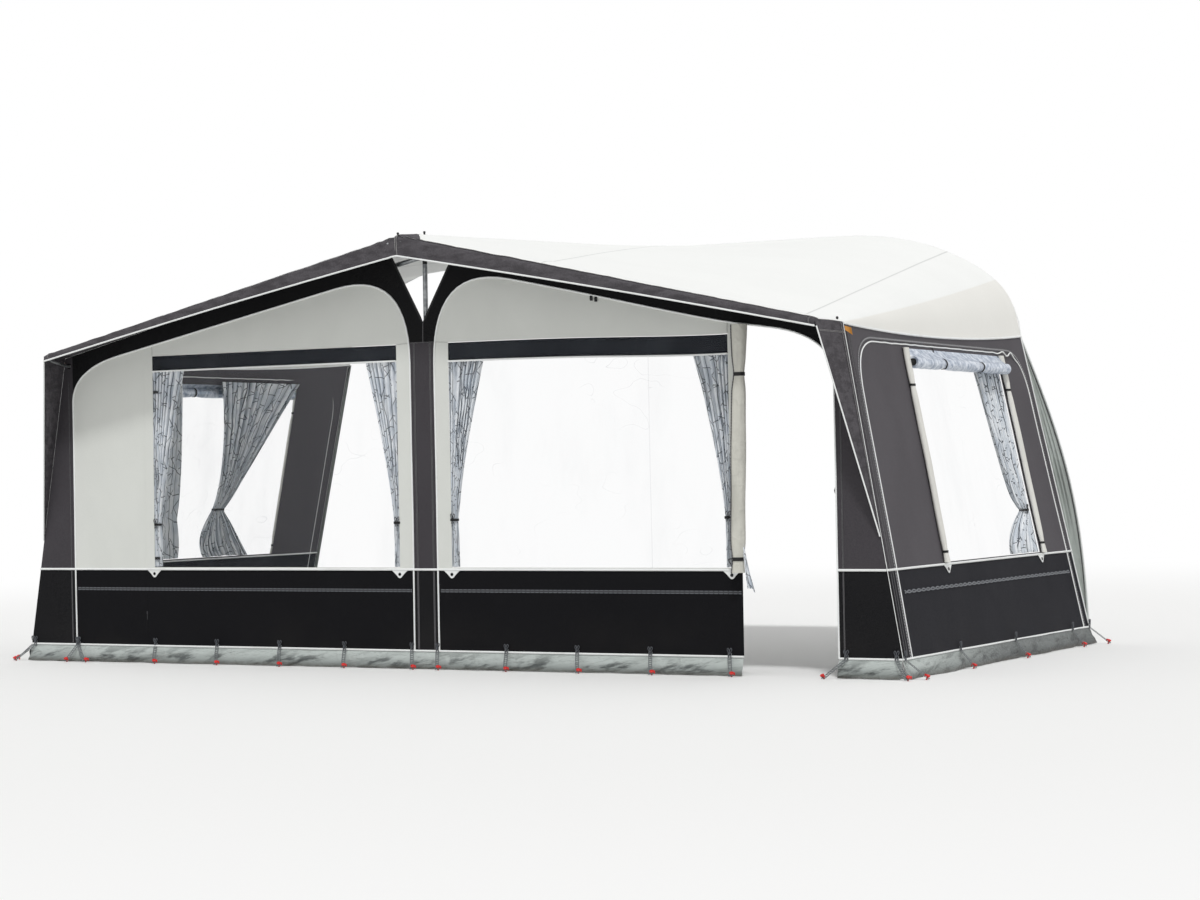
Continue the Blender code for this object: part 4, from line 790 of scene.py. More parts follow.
# Roof
roof = Sizes(rows=64, halfColumns=40, sideColumns=14, ends=(0.0023, 2.9954), centreSag=0.02, edgeSag=0.045,
             wrinkle=0.0022, pull=0.7, thickness=0.0018, pipe=0.0068, pipeGap=0.004, pipeEnds=(0.006, 2.992))


def roofHalf(v):
    y, dip = mixed(*roof.ends, v), 4.0 * v * (1.0 - v)
    half = []
    for s in shares(roof.halfColumns):
        railX, railZ = railFromShare(s)
        z = mixed(gableZ(awning.eaveX * s), railZ, v) - roof.centreSag * dip * math.sin(math.pi * s)
        half.append((mixed(awning.eaveX * s, railX, v), y, z))
    for s in shares(roof.sideColumns)[1:]:
        railX, railZ = railPoint(mixed(awning.railSeam, 90.0, s))
        z = mixed(awning.eaveZ, railZ, v) - roof.edgeSag * dip * s
        half.append((mixed(mixed(awning.eaveX, railX, v), sideX(y, z), s * s), y, z))
    return half


def roofWrinkle(x, y, z):
    pull = 1.0 + 1.5 * peak(math.hypot(abs(x) - awning.eaveX, y), 0.0, roof.pull)
    wrinkle = ripple(pull, x * 1.6, y * 1.1, 5.0) + ripple(0.4, x * 7.0, y * 2.0, 8.0)
    return wrinkle * eased((sideX(y, z) - abs(x) + 0.02) / 0.15)


roofRows = []
for v in shares(roof.rows):
    fade = roof.wrinkle * eased(min(v, 1.0 - v) / 0.08)
    half = roofHalf(v)
    row = [(-x, y, z) for x, y, z in reversed(half[1:])] + half
    roofRows.append([Vector((x, y, z + fade * roofWrinkle(x, y, z))) for x, y, z in row])
roofCloth = gridPiece("roofCloth", roofRows, "roof", roof.thickness, "roof_panel")
for side, label in sides:
    eave = [Vector((side * (sideX(y, eaveZ(y)) + roof.pipeGap), y, eaveZ(y) - roof.pipeGap))
            for y in [mixed(*roof.pipeEnds, share) for share in shares(60)]]
    piping("eavePiping" + label, [eave], roof.pipe, sideFacing(side))
print("stage: roof")

# Canopy over the front wall
canopy = Sizes(columns=180, topRows=14, bendRows=6, dropRows=9, bendShares=(0.5, 0.7), bend=0.02, hump=0.006,
               wrinkle=0.0028, pucker=0.005, thickness=0.0022, pipe=0.0052, ridgeTape=0.018, joinTape=0.014,
               endTape=0.008, endDrop=0.026, endSeam=0.987, lift=0.011)
canopyTop = Sizes(rows=14, seamShare=0.46, overlap=0.003, tuck=0.007, thickness=0.0018)
ridgePatch = Sizes(rows=12, columns=16, startShare=0.08, halves=(0.006, 0.055), lift=0.0055)


def canopyPoint(column, share):
    s = abs(column)
    bendStart, bendEnd = canopy.bendShares
    turn = min(1.0, max(0.0, (share - bendStart) / (bendEnd - bendStart)))
    frontZ = mixed(awning.canopyRidgeZ, awning.canopyTipZ, s)
    x, y, z = awning.canopyX * column, -awning.canopyReach, frontZ - canopy.bend
    if share <= bendStart:
        part = share / bendStart
        hump = canopy.hump * math.sin(math.pi * part) * eased(s / 0.12) * (1.0 - 0.5 * s)
        x = mixed(awning.eaveX, awning.canopyX, part) * column
        y = mixed(-awning.zipGap, canopy.bend - awning.canopyReach, part)
        z = mixed(gableZ(awning.eaveX * s), frontZ, part) + hump
    elif share <= bendEnd:
        y += canopy.bend * (1.0 - math.sin(turn * math.pi / 2))
        z += canopy.bend * math.cos(turn * math.pi / 2)
    else:
        valanceZ = mixed(awning.valanceRidgeZ, awning.valanceTipZ, s) + canopy.lift * math.sin(math.pi * s)
        z = mixed(z, valanceZ, (share - bendEnd) / (1.0 - bendEnd))
    near = peak(x, 0.0, 0.16) + 0.8 * peak(abs(x), awning.canopyX, 0.07)
    pucker = near * canopy.pucker * math.sin(x * 85.0 + share * 4.0) * eased(share / 0.3)
    wrinkle = ripple(1.0, x * 9.0, share * 3.0, 2.0) + ripple(0.6, x * 22.0, share * 5.0, 7.0)
    amount = eased(share / 0.12) * (canopy.wrinkle * wrinkle + pucker)
    return Vector((x, y - amount * turn, z + amount * (1.0 - turn)))


def canopyLine(column, columnShares, lift=(0.0, -0.001, 0.001)):
    return [canopyPoint(column, share) + Vector(lift) for share in columnShares]


canopyShares = [0.0]
for start, end, rows in zip((0.0,) + canopy.bendShares, canopy.bendShares + (1.0,),
                            (canopy.topRows, canopy.bendRows, canopy.dropRows)):
    canopyShares += [mixed(start, end, part) for part in shares(rows)[1:]]
canopyColumns = [2.0 * share - 1.0 for share in shares(canopy.columns)]
canopyRows = [[canopyPoint(column, share) for column in canopyColumns] for share in canopyShares]
canopyCloth = gridPiece("canopyCloth", canopyRows, "canopy", canopy.thickness, "front_canopy")
topRows = [[canopyPoint(column, canopyTop.seamShare * part) + Vector((0.0, 0.0, canopyTop.overlap))
            for column in canopyColumns] for part in shares(canopyTop.rows)]
topRows[0] = [p + Vector((0.0, canopyTop.tuck, 0.0)) for p in topRows[0]]
gridPiece("canopyTop", topRows, "roof", canopyTop.thickness)
patchRows = []
for part in shares(ridgePatch.rows):
    share, half = mixed(ridgePatch.startShare, canopyTop.seamShare, part), mixed(*ridgePatch.halves, part)
    patchRows.append([canopyPoint(half * (2.0 * across - 1.0), share) + Vector((0.0, 0.0, ridgePatch.lift))
                      for across in shares(ridgePatch.columns)])
gridPiece("canopyRidgePatch", patchRows, "canopy")
piping("valancePiping", [canopyRows[-1]], canopy.pipe)
tape("canopyJoinTape", [[p + Vector((0.0, -0.003, 0.001)) for p in topRows[-1]]], canopy.joinTape,
     "wallTape", (0.0, -0.2, 1.0))
tape("canopyRidgeSeam", [canopyLine(0.0, canopyShares)], canopy.ridgeTape, "wallTape", (0.0, -1.0, 0.6))
endShares = [share for share in canopyShares if share > 0.4]
tape("canopyEndSeams", [canopyLine(side * canopy.endSeam, endShares) for side in (-1, 1)], canopy.endTape,
     "wallTape", (0.0, -1.0, 0.6))

# Cheeks of the canopy and the flaps at its ends
cheek = Sizes(rows=44, columns=12, rearDrop=0.002, frontDrop=0.006, gap=0.003, belly=0.006, wrinkle=0.004,
              footShare=0.985, pipeShare=0.027, pipe=0.0042, rearSeam=0.93, hemSeam=0.045, seamTape=0.01,
              lift=0.002, thickness=0.0018)
endFlap = Sizes(drops=(0.0, 0.35, 0.7, 1.0), out=0.0035, up=0.001)


def cheekPoint(side, share, across, lift=0.0):
    rearZ = mixed(awning.eaveZ - cheek.rearDrop, awning.cheekFootZ, share)
    frontZ = mixed(awning.canopyTipZ - cheek.frontDrop, awning.cheekFootZ, share)
    frontX = mixed(awning.canopyX, cornerX(awning.cheekFootZ), share)
    front = Vector((side * frontX, mixed(cheek.gap - awning.canopyReach, -cheek.gap, share), frontZ))
    spot = front.lerp(Vector((side * cornerX(rearZ), -cheek.gap, rearZ)), across)
    belly = math.sin(math.pi * across) * math.sin(math.pi * min(1.0, share * 1.1))
    inward = ripple(cheek.wrinkle, share * 5.0, across * 2.0, 40.0 + side) - cheek.belly
    spot.x += side * (belly * inward + lift)
    return spot


for side, label in sides:
    edge = [canopyPoint(side, share) for share in canopyShares[:canopy.topRows + 3]]
    endRows = [[p + Vector((side * endFlap.out * min(1.0, drop * 3.0), 0.0,
                            endFlap.up - canopy.endDrop * drop)) for p in edge] for drop in endFlap.drops]
    gridPiece("canopyEndFlap" + label, endRows, "canopy")
    down = [cheek.footShare * share for share in shares(cheek.rows)]
    rows = [[cheekPoint(side, share, across) for across in shares(cheek.columns)] for share in down]
    gridPiece("canopyCheek" + label, rows, "canopy", cheek.thickness,
                       "canopy_cheek_" + label.lower())
    outward = (side, 0.0, 0.0)
    front = [cheekPoint(side, mixed(cheek.pipeShare, cheek.footShare, share), 0.0)
             for share in shares(cheek.rows)]
    piping("cheekPiping" + label, [front], cheek.pipe, outward)
    rear = [cheekPoint(side, share, cheek.rearSeam, cheek.lift) for share in down]
    hem = [cheekPoint(side, cheek.hemSeam, across, cheek.lift) for across in shares(cheek.columns)]
    tape("cheekSeams" + label, [rear, hem], cheek.seamTape, "wallTape", outward)
print("stage: canopy")

# Front wall
frontWall = Sizes(topDrop=0.0035, piping=0.005, lowPiping=0.0052, sill=0.0068, hem=0.006,
                  vent=(-0.222, 0.252, 2.44), ventFoot=(0.010, 2.014), stripZ=0.455, strip=0.017,
                  foilStep=0.05, foilThickness=0.0008, columnTapeX=0.056, columnTape=0.012,
                  cornerTapeX=2.648, cornerTapeTop=1.75, cornerTape=0.009, crossZ=1.9, crossSeam=0.006,
                  panelSeam=0.007, panelSeamThickness=0.001, tapeGap=0.01)
ventLeft, ventRight, ventTop = frontWall.vent
ventLine = [(ventLeft, ventTop), frontWall.ventFoot, (ventRight, ventTop)]
frameTop = awning.eaveZ - frontWall.topDrop
frameHalf = bayLine() + [(awning.hemX, awning.hemZ), (cornerX(frameTop), frameTop),
                         (0.0, awning.ridgeZ - frontWall.topDrop)]
frameHoles = [ventLine]
frameHoles += [circled(awning.eyelet, 24, side * awning.eyeletX, awning.eyeletZ) for side in (-1, 1)]
frontFrame = cutSheet("frontFrameCloth", frameHalf + flipped(reversed(frameHalf[:-1]), -1), frameHoles,
                      frontSpot, "wall", "front_wall_frame")

panelSeams = []
for side, label in sides:
    seam = awning.doorX - awning.seamGap
    outline = [(awning.columnX + awning.zipGap, awning.hemZ)] + innerCorner()
    outline = flipped(outline + [(seam, archZ(seam)), (seam, awning.hemZ)], side)
    hole = flipped(boxed(awning.windowX, awning.windowZ), side)
    panel = cutSheet("frontPanel" + label, outline, [hole], frontSpot, "panel",
                     "front_panel_" + label.lower())
    foil = cutSheet("frontFoil" + label, hole, [], frontSpot, "foil", "front_window_" + label.lower(),
                    frontWall.foilStep, frontWall.foilThickness)
    inner, outer = awning.windowX
    panelSeams.append(flipped([(awning.columnX + 0.004, frontWall.crossZ),
                               (inner, frontWall.crossZ - 0.007)], side))
    panelSeams.append(flipped([(outer, awning.windowZ[1] + 0.003), (outer, archZ(outer) - 0.004)], side))

seam = awning.doorX + awning.seamGap
outline = [(seam, awning.hemZ), (seam, archZ(seam))] + outerCorner()
outline.append((awning.bayX - awning.zipGap, awning.hemZ))
doorCloth = cutSheet("doorPanelLeft", flipped(outline, -1), [], frontSpot, "panel", "door_panel_left")


def level(start, end, z):
    return [(start, z), (end, z)]


def upright(x, low, high):
    return [(x, low), (x, high)]


tapeFoot = awning.hemZ + frontWall.tapeGap
sillX, stripFrom = cornerX(awning.sillZ), awning.columnX + 0.015
frontPiping("bayPiping", [flipped(bayLine(), side) for side in (-1, 1)], frontWall.piping)
frontPiping("bayPipingLow", [upright(side * x, awning.hemZ, awning.sillZ)
                             for side, x in ((-1, awning.bayX), (-1, awning.columnX), (1, awning.columnX),
                                             (1, awning.bayX))], frontWall.lowPiping)
frontPiping("sillPipingFront", [level(-sillX, awning.doorX, awning.sillZ),
                                level(awning.bayX, sillX, awning.sillZ)], frontWall.sill)
frontPiping("hemPipingFront", [level(-awning.hemX, awning.doorX, awning.hemZ),
                               level(awning.bayX, awning.hemX, awning.hemZ)], frontWall.hem)
frontTape("panelSeams", panelSeams, frontWall.panelSeam, "panelTape", frontWall.panelSeamThickness)
frontTape("columnTapes", [upright(side * frontWall.columnTapeX, tapeFoot, frontWall.crossZ)
                          for side in (-1, 1)], frontWall.columnTape)
frontTape("cornerStripTapes", [upright(side * frontWall.cornerTapeX, tapeFoot, frontWall.cornerTapeTop)
                               for side in (-1, 1)], frontWall.cornerTape)
frontTape("columnCrossSeam", [level(-0.083, 0.083, frontWall.crossZ),
                              [(0.008, frontWall.crossZ), frontWall.ventFoot]], frontWall.crossSeam)
frontTape("ventEdgeTape", [closed(ventLine)], frontWall.columnTape, "strap")
frontTape("skirtStripFront", [level(-2.60, -stripFrom, frontWall.stripZ),
                              level(stripFrom, 2.04, frontWall.stripZ)], frontWall.strip, "skirtTape")
print("stage: front wall")

# Stored blinds behind the front windows
blind = Sizes(heightLeft=0.092, heightRight=0.106, depth=0.040, rows=60, sides=24, tuck=0.008, behind=0.0022,
              squareness=0.55, wrinkle=0.0022, edge=0.0054, edgeGap=0.004, edgeLift=0.006)


def squared(value):
    return math.copysign(abs(value) ** blind.squareness, value)


def blindRing(x, height):
    top = awning.windowZ[1] - 0.0006
    ring = []
    for turn in turns(blind.sides):
        wrinkle = ripple(blind.wrinkle, x * 6.0, turn, 60.0)
        y = blind.behind + blind.depth / 2 * (1.0 + squared(math.cos(turn))) + abs(wrinkle)
        z = top - height / 2 * (1.0 - squared(math.sin(turn)) * 0.985) + wrinkle * (1.0 - math.sin(turn))
        ring.append(Vector((x, y + max(0.0, frontHang(x, z)), z - frontSag(x, top))))
    return ring


for side, label in sides:
    height = blind["height" + label]
    inner, outer = awning.windowX
    rings = [blindRing(side * mixed(inner - blind.tuck, outer + blind.tuck, share), height)
             for share in shares(blind.rows)]
    tubePiece("frontBlind" + label, rings, "blind", "front_blind_" + label.lower())
    line = flipped(level(inner + 0.002, outer - 0.002, awning.windowZ[1] - height - blind.edgeGap), side)
    piping("blindEdge" + label, [onFront(line, blind.edgeLift)], blind.edge, sides=6)

# Curtains, gathered and tied back
curtain = Sizes(rows=70, columns=150, folds=7, bottom=0.594, tie=0.86, topWidth=0.235, tieWidth=0.052,
                bottomWidth=0.05, overlap=0.012, depth=0.017, spread=1.3, tieShift=0.0, footShift=0.0,
                gap=0.0012, behind=0.0016, thickness=0.001, flat=(0.46, 1.19), held="gathered")
sideCurtain = Sizes(curtain, top=1.785, folds=8, depth=0.02, gap=0.0042)
sideCurtains = {
    "Left": Sizes(sideCurtain, topWidth=0.88, tieWidth=0.12, bottomWidth=0.48, tie=0.91, folds=10,
                  columns=200, tieShift=0.64, footShift=0.32, flat=(1.0, 1.17)),
    "Right": Sizes(sideCurtain, topWidth=0.42, tieWidth=0.13, bottomWidth=0.42, tie=0.85, spread=0.55,
                   flat=(0.62, 1.17)),
}
looseCurtain = Sizes(sideCurtain, topWidth=0.25, tieWidth=0.40, bottomWidth=0.47, folds=4, depth=0.008,
                     flat=(0.5, 1.17), held="hung")  # the left side window's front curtain hangs untied
tieBack = Sizes(loose=0.003, width=0.014, thickness=0.0018, bow=0.75, cord=0.0019)


def curtainSpan(z, size):
    if z >= size.tie:
        up = (z - size.tie) / (size.top - size.tie)
        return size.tieShift * (1.0 - up), mixed(size.tieWidth, size.topWidth, up ** size.spread)
    down = (size.tie - z) / (size.tie - size.bottom)
    width = mixed(size.tieWidth, size.bottomWidth, math.sin(down * math.pi / 2))
    return mixed(size.tieShift, size.footShift, down), width


def curtainRow(z, size, seed, anchor, direction, surface):
    shift, width = curtainSpan(z, size)
    pressed = 1.0 - 0.45 * peak(z, size.tie, 0.06)
    row = []
    for share in shares(size.columns):
        drift = ripple(0.35, share * 3.0, z * 0.9, seed)
        wave = math.tau * size.folds * (share + 0.06 * math.sin(math.tau * share + seed)) + drift
        swell = 0.75 + ripple(0.5, share * 6.0, z * 1.3, seed + 3.0)
        fold = size.depth * pressed * swell * (1.0 - math.cos(wave))
        small = ripple(0.0012, share * 30.0, z * 6.0, seed + 8.0)
        u = anchor + direction * (shift + width * (share + 0.012 * math.sin(2.0 * wave)))
        rise = ripple(0.006, share * 5.0, seed, 1.0) * eased((size.bottom + 0.1 - z) / 0.1)
        row.append(surface(u, z + rise, size.gap + fold + small))
    return row


def curtainPiece(name, size, seed, anchor, direction, surface, node=None):
    rows = [curtainRow(mixed(size.bottom, size.top, up), size, seed, anchor, direction, surface)
            for up in shares(size.rows)]
    made = gridPiece(name, rows, "curtain", size.thickness, node, lambda r, c: (
        size.flat[0] * c / size.columns, mixed(size.bottom, size.top, r / size.rows)))
    return rows


def tieBand(name, rows, size, bowSide):
    row = rows[round((size.tie - size.bottom) / (size.top - size.bottom) * size.rows)]
    middle = middleOf(row)
    along = (row[-1] - row[0]).normalized()
    out = Vector((0.0, 0.0, 1.0)).cross(along)
    reach = max((row[0] - middle).length, (row[-1] - middle).length) + tieBack.loose
    deep = max(abs((p - middle).dot(out)) for p in row) + tieBack.loose
    ring = [middle + along * reach * math.cos(turn) + out * deep * math.sin(turn) for turn in turns(32)]
    strapRound(name, ring, middle, 1.0, tieBack.width, tieBack.thickness)
    knot = middle + out * math.copysign(deep, out.dot(bowSide))
    cord(name + "Bow", [bowLine(knot, along, bowSide, tieBack.bow)], tieBack.cord, "strap", bowSide)


def behindFront(x, z, depth):
    return Vector((x, max(0.0, frontHang(x, z)) + depth + curtain.behind, z - frontSag(x, z)))


for side, label in sides:
    size = Sizes(curtain, top=awning.windowZ[1] - blind["height" + label] - blind.edgeLift)
    inner, outer = awning.windowX
    for place, anchor, direction, seed in (("Outer", outer + curtain.overlap, -side, 11.0 + 7.0 * side),
                                           ("Inner", inner - curtain.overlap, side, 14.0 + 7.0 * side)):
        rows = curtainPiece("curtain" + label + place, size, seed, side * anchor, direction, behindFront,
                            "curtain_front_%s_%s" % (label.lower(), place.lower()))
        tieBand("curtainTie" + label + place, rows, size, Vector((0.0, -1.0, 0.0)))
for side, label in sides:
    rows = curtainPiece("sideCurtain" + label, sideCurtains[label], 40.0 + side,
                        awning.sideWindowY[1] - curtain.overlap, -1.0,
                        lambda y, z, depth: sideSpot(side, y, z, -depth),
                        "curtain_side_" + label.lower())
    tieBand("sideCurtainTie" + label, rows, sideCurtains[label], Vector((side, 0.0, 0.0)))
curtainPiece("sideCurtainLeftFront", looseCurtain, 55.0, awning.sideWindowY[0] + curtain.overlap, 1.0,
             lambda y, z, depth: sideSpot(-1, y, z, -depth))

# Two toggles behind the left window's outer edge
toggle = Sizes(ends=(-1.986, -1.945), heights=(0.645, 1.67), behind=0.0012, width=0.017, thickness=0.002)
tape("curtainToggles", [onFront(level(*toggle.ends, z), -toggle.behind) for z in toggle.heights],
     toggle.width, "strap", (0.0, 1.0, 0.0), thickness=toggle.thickness)
print("stage: blinds and curtains")

# Door panel, rolled up and strapped to the front wall
doorRoll = Sizes(top=1.916, bottom=0.565, radius=0.037, topSwell=0.006, waist=0.009, lean=0.035, offset=0.03,
                 forward=0.0425, rows=110, sides=56, straps=(0.055, 0.80), strap=(1.05, 0.02, 0.0022),
                 zipWidth=0.009)


def doorRollCentre(share):
    x = awning.doorX + doorRoll.offset - doorRoll.lean * (1.0 - share)
    return Vector((x, -doorRoll.forward, mixed(doorRoll.bottom, doorRoll.top, share)))


def doorRollRing(share):
    centre = doorRollCentre(share)
    waist = sum(peak(share, at, 0.045) for at in doorRoll.straps)
    ring = []
    for turn in turns(doorRoll.sides):
        lobes = 0.0022 * math.cos(3.0 * turn + 2.0 * share)
        lobes += doorRoll.topSwell * eased((share - 0.82) / 0.18)
        lobes += ripple(0.0034, math.cos(turn) * 1.9, math.sin(turn) * 1.9, share * 5.0)
        lip = 0.0035 * math.exp(-((turn - 3.6) % math.tau) / 0.5) * (1.0 - 0.6 * waist)
        pinch = ripple(0.0025, turn * 3.0, share * 4.0, 70.0) * waist
        radius = doorRoll.radius - doorRoll.waist * waist + lobes + lip + pinch
        ring.append(centre + Vector((math.cos(turn), math.sin(turn), 0.0)) * radius)
    return ring


tubePiece("doorPanelRolled", [doorRollRing(share) for share in shares(doorRoll.rows)], "roll",
          "door_panel_rolled")
for number, share in enumerate(doorRoll.straps):
    strapRound("doorRollStrap%d" % (number + 1), doorRollRing(share), doorRollCentre(share), *doorRoll.strap)
rollZip = [doorRollRing(share)[34] + Vector((-0.002, -0.001, 0.0)) for share in shares(60)]
tape("doorRollZip", [rollZip], doorRoll.zipWidth, "zip", (-0.6, -1.0, 0.0))

# Hook, short cord and hanging tail of the rolled door
doorHook = Sizes(offset=(-0.042, -0.012, -0.004), radius=0.0028, cord=0.0018, eyeDrop=0.027, eyeLift=0.010)
hookBends = ((0.016, 0.004, 0.004), (0.0, -0.004, 0.006), (-0.010, -0.002, 0.0), (-0.008, 0.002, -0.014),
             (0.0, 0.0, -0.018))
tail = Sizes(steps=24, forward=0.050, tops=(2.072, 2.084), feet=(2.098, 2.150), heights=(0.735, 0.480),
             fold=0.006, point=0.05)
hook = doorRollCentre(doorRoll.straps[0]) + Vector(doorHook.offset)
cord("doorRollHook", [smoothLine([hook + Vector(p) for p in hookBends])], doorHook.radius, "plastic",
     sides=8)
eye = Vector((awning.windowX[1], -doorHook.eyeLift, awning.sillZ - doorHook.eyeDrop))
cordSpots = [hook + Vector((-0.006, 0.0, -0.016)), hook.lerp(eye, 0.5) + Vector((0.006, -0.002, 0.0)), eye,
             eye + Vector((0.0, 0.008, 0.0))]
cord("doorRollCord", [smoothLine(cordSpots)], doorHook.cord, "cord")
tailRows = []
for share in shares(tail.steps):
    left, right = mixed(tail.tops[0], tail.feet[0], share), mixed(tail.tops[1], tail.feet[1], share ** 1.2)
    row = []
    for across in shares(tail.steps):
        fold = tail.fold * (0.3 + share) * math.sin(across * 11.0 + share)
        point = max(0.0, across - 0.55) * tail.point * share
        row.append(Vector((mixed(left, right, across), fold - tail.forward,
                           mixed(*tail.heights, share) - point)))
    tailRows.append(row)
gridPiece("doorRollTail", tailRows, "curtain", curtain.thickness, None,
                   lambda r, c: (c * 0.004, -r * 0.011))
print("stage: door roll")

# Eyelet tabs under the windows' corners
tab = Sizes(half=0.058, drop=0.050, tip=0.012, tipRise=0.008, tipPoint=0.003, bend=(0.031, -0.019),
            hole=0.008, holeDrop=0.025, under=0.003, lift=0.0045, ring=0.0018, ringLift=0.0015, step=0.006,
            thickness=0.002)


def tabOutline():
    shoulder, tip = (tab.tip, tab.tipRise - tab.drop), (0.0, -tab.drop - tab.tipPoint)
    right = bowed((tab.half, 0.0), tab.bend, shoulder, 6)
    bottom = bowed(shoulder, tip, (-shoulder[0], shoulder[1]), 6)
    return right[:-1] + bottom[:-1] + flipped(reversed(right), -1)


def eyeletTab(name, surface, start):
    def place(u, v, more=0.0):
        return surface(start + u, awning.sillZ - tab.under + v, tab.lift + more)
    hole = circled(tab.hole, 24, 0.0, -tab.holeDrop)
    cutSheet(name, tabOutline(), [hole], place, "cap", None, tab.step, tab.thickness)
    ring = [place(u, v, tab.ringLift) for u, v in closed(hole)]
    cord(name + "Ring", [ring], tab.ring, "plastic", place(0.0, 0.0, 1.0) - place(0.0, 0.0))


for side, label in sides:
    for end, x, y in zip((("Inner", "Front"), ("Outer", "Rear")), awning.windowX, awning.sideWindowY):
        eyeletTab("eyeletTab" + label + end[0], frontSpot, side * x)
        eyeletTab("eyeletTabSide" + label + end[1], partial(sideSpot, side), y)
print("stage: eyelet tabs")

# Side walls
sideWall = Sizes(step=0.05, topGap=0.004, panelPipe=0.0042, pipeIn=0.022, zipWidth=0.02,
                 ends=(0.004, 2.985, 2.99), sill=0.0065, hem=0.0058, rear=0.0045, corner=0.0022,
                 stitches=((0.045, 1.88), (0.075, 1.86)), stitch=0.01, braid=0.14, braidEnds=(0.18, 2.86),
                 braidZ=0.455, braidWidth=0.008)


def zipPucker(side, p):
    rearTop = peak(p.y, 2.62, 0.16) * eased((p.z - 1.4) / 0.2)
    pucker = ripple(0.0025, p.y * 14.0, p.z * 14.0, side) * eased((p.z - 1.6) / 0.2)
    return Vector((side * 0.012 * rearTop, 0.0, pucker + 0.014 * rearTop * math.sin(p.y * 38.0)))


def braidStrand(side, start):
    strand = []
    for y in [mixed(*sideWall.braidEnds, share) for share in shares(225)]:
        turn = start + math.tau * y / sideWall.braid
        strand.append(sideSpot(side, y, sideWall.braidZ + 0.0065 * math.sin(turn),
                               0.0035 + 0.0018 * math.cos(turn)))
    return strand


for side, label in sides:
    lower, out, place = label.lower(), sideFacing(side), partial(sideSpot, side)
    wallFront, wallRear = awning.sideEnds
    top = [(y, eaveZ(y) - sideWall.topGap)
           for y in [mixed(wallRear, wallFront, share) for share in shares(40)]]
    outline = [(wallFront, awning.hemZ)] + sideZipLine() + [(wallRear, awning.hemZ)] + top
    cutSheet("sideFrame" + label, outline, [], place, "wall", "side_wall_frame_" + lower,
                      sideWall.step)
    hole = boxed(awning.sideWindowY, awning.sideWindowZ)
    cutSheet("sidePanel" + label, sideZipLine(awning.zipGap), [hole], place, "wall",
                      "side_wall_panel_" + lower, sideWall.step)
    cutSheet("sideFoil" + label, hole, [], place, "foil", "side_window_" + lower, sideWall.step,
                      frontWall.foilThickness)
    zipLine = [p + zipPucker(side, p) for p in onSide(side, sideZipLine(sideWall.pipeIn), 0.002, 0.02)]
    piping("sidePanelPiping" + label, [zipLine], sideWall.panelPipe, out)
    tape("sideZip" + label, [onSide(side, sideZipLine(0.001), 0.0012)], sideWall.zipWidth, "zip", out)
    front, rear, end = sideWall.ends
    for name, line, radius, lift in (
            ("Sill", level(front, end, awning.sillZ), sideWall.sill, raised.pipe),
            ("Hem", level(front, end, awning.hemZ), sideWall.hem, raised.pipe),
            ("Rear", upright(rear, awning.hemZ, eaveZ(rear) - 0.01), sideWall.rear, raised.pipe),
            ("Corner", upright(front, awning.hemZ, awning.eaveZ - 0.01), sideWall.corner, 0.002)):
        piping("side" + name + "Piping" + label, [onSide(side, line, lift)], radius, out)
    stitches = [onSide(side, upright(y, tapeFoot, high), raised.tape) for y, high in sideWall.stitches]
    tape("sideStitchLines" + label, stitches, sideWall.stitch, "darkTape", out)
    tape("sideSkirtBraid" + label, [braidStrand(side, start) for start in (0.0, math.pi)],
         sideWall.braidWidth, "skirtBraid", out, thickness=0.0014)
print("stage: side walls")

# Flaps of the side windows, rolled up beside them and held by loops
windowRoll = Sizes(depth=0.017, half=0.025, waist=0.22, away=0.03, ties=(0.655, 1.58), rows=80, sides=28,
                   under=0.002, over=0.03, tieGrowth=1.06, tieWidth=0.013, tieThickness=0.0018)


def windowRollRing(side, y, z):
    pinch = 1.0 - windowRoll.waist * sum(peak(z, at, 0.04) for at in windowRoll.ties)
    ring = []
    for turn in turns(windowRoll.sides):
        size = pinch * (1.0 + ripple(0.10, math.cos(turn) * 1.5, math.sin(turn) * 1.5, z * 5.0 + y))
        size += 0.10 * math.exp(-((turn - 0.9) % math.tau) / 0.5)
        lift = windowRoll.depth * (1.12 + math.cos(turn) * size)
        ring.append(sideSpot(side, y + windowRoll.half * math.sin(turn) * size, z, lift))
    return ring


for side, label in sides:
    for y, end in ((awning.sideWindowY[0] - windowRoll.away, "Front"),
                   (awning.sideWindowY[1] + windowRoll.away, "Rear")):
        low, high = awning.sideWindowZ[0] - windowRoll.under, awning.sideWindowZ[1] + windowRoll.over
        rings = [windowRollRing(side, y, mixed(low, high, share)) for share in shares(windowRoll.rows)]
        tubePiece("sideWindowRoll" + label + end, rings, "cream")
        bands = []
        for at in windowRoll.ties:
            near = min(rings, key=lambda ring: abs(ring[0].z - at))
            middle = middleOf(near)
            bands.append([middle + (p - middle) * windowRoll.tieGrowth for p in closed(near)])
        tape("sideWindowTies" + label + end, bands, windowRoll.tieWidth, "strap",
             lambda p: Vector((p.x - side * (sideX(y, p.z) + windowRoll.depth), p.y - y, 0.0)),
             thickness=windowRoll.tieThickness)

# Silver blinds, rolled up outside the side windows: roll, straps, hubs, upper band and a loop above
silver = Sizes(z=1.712, radius=0.033, gap=0.004, past=0.02, rows=90, sides=36, straps=(0.30, 0.70),
               waist=0.006, strap=(1.07, 0.016), bandTop=1.792, bandPast=0.012, bandRows=12, bandColumns=110,
               bandThickness=0.0012, loopY=1.30, loopZ=1.805)
loopBends = ((-0.006, 0.0, 0.0), (-0.007, 0.016, 0.004), (0.0, 0.034, 0.006), (0.007, 0.016, 0.004),
             (0.006, 0.0, 0.0))
silverLean = math.atan(mixed(sideSlope, rearSlope, 0.5))


def silverX(y):
    return sideX(y, silver.z) + (silver.radius + silver.gap) / math.cos(silverLean)


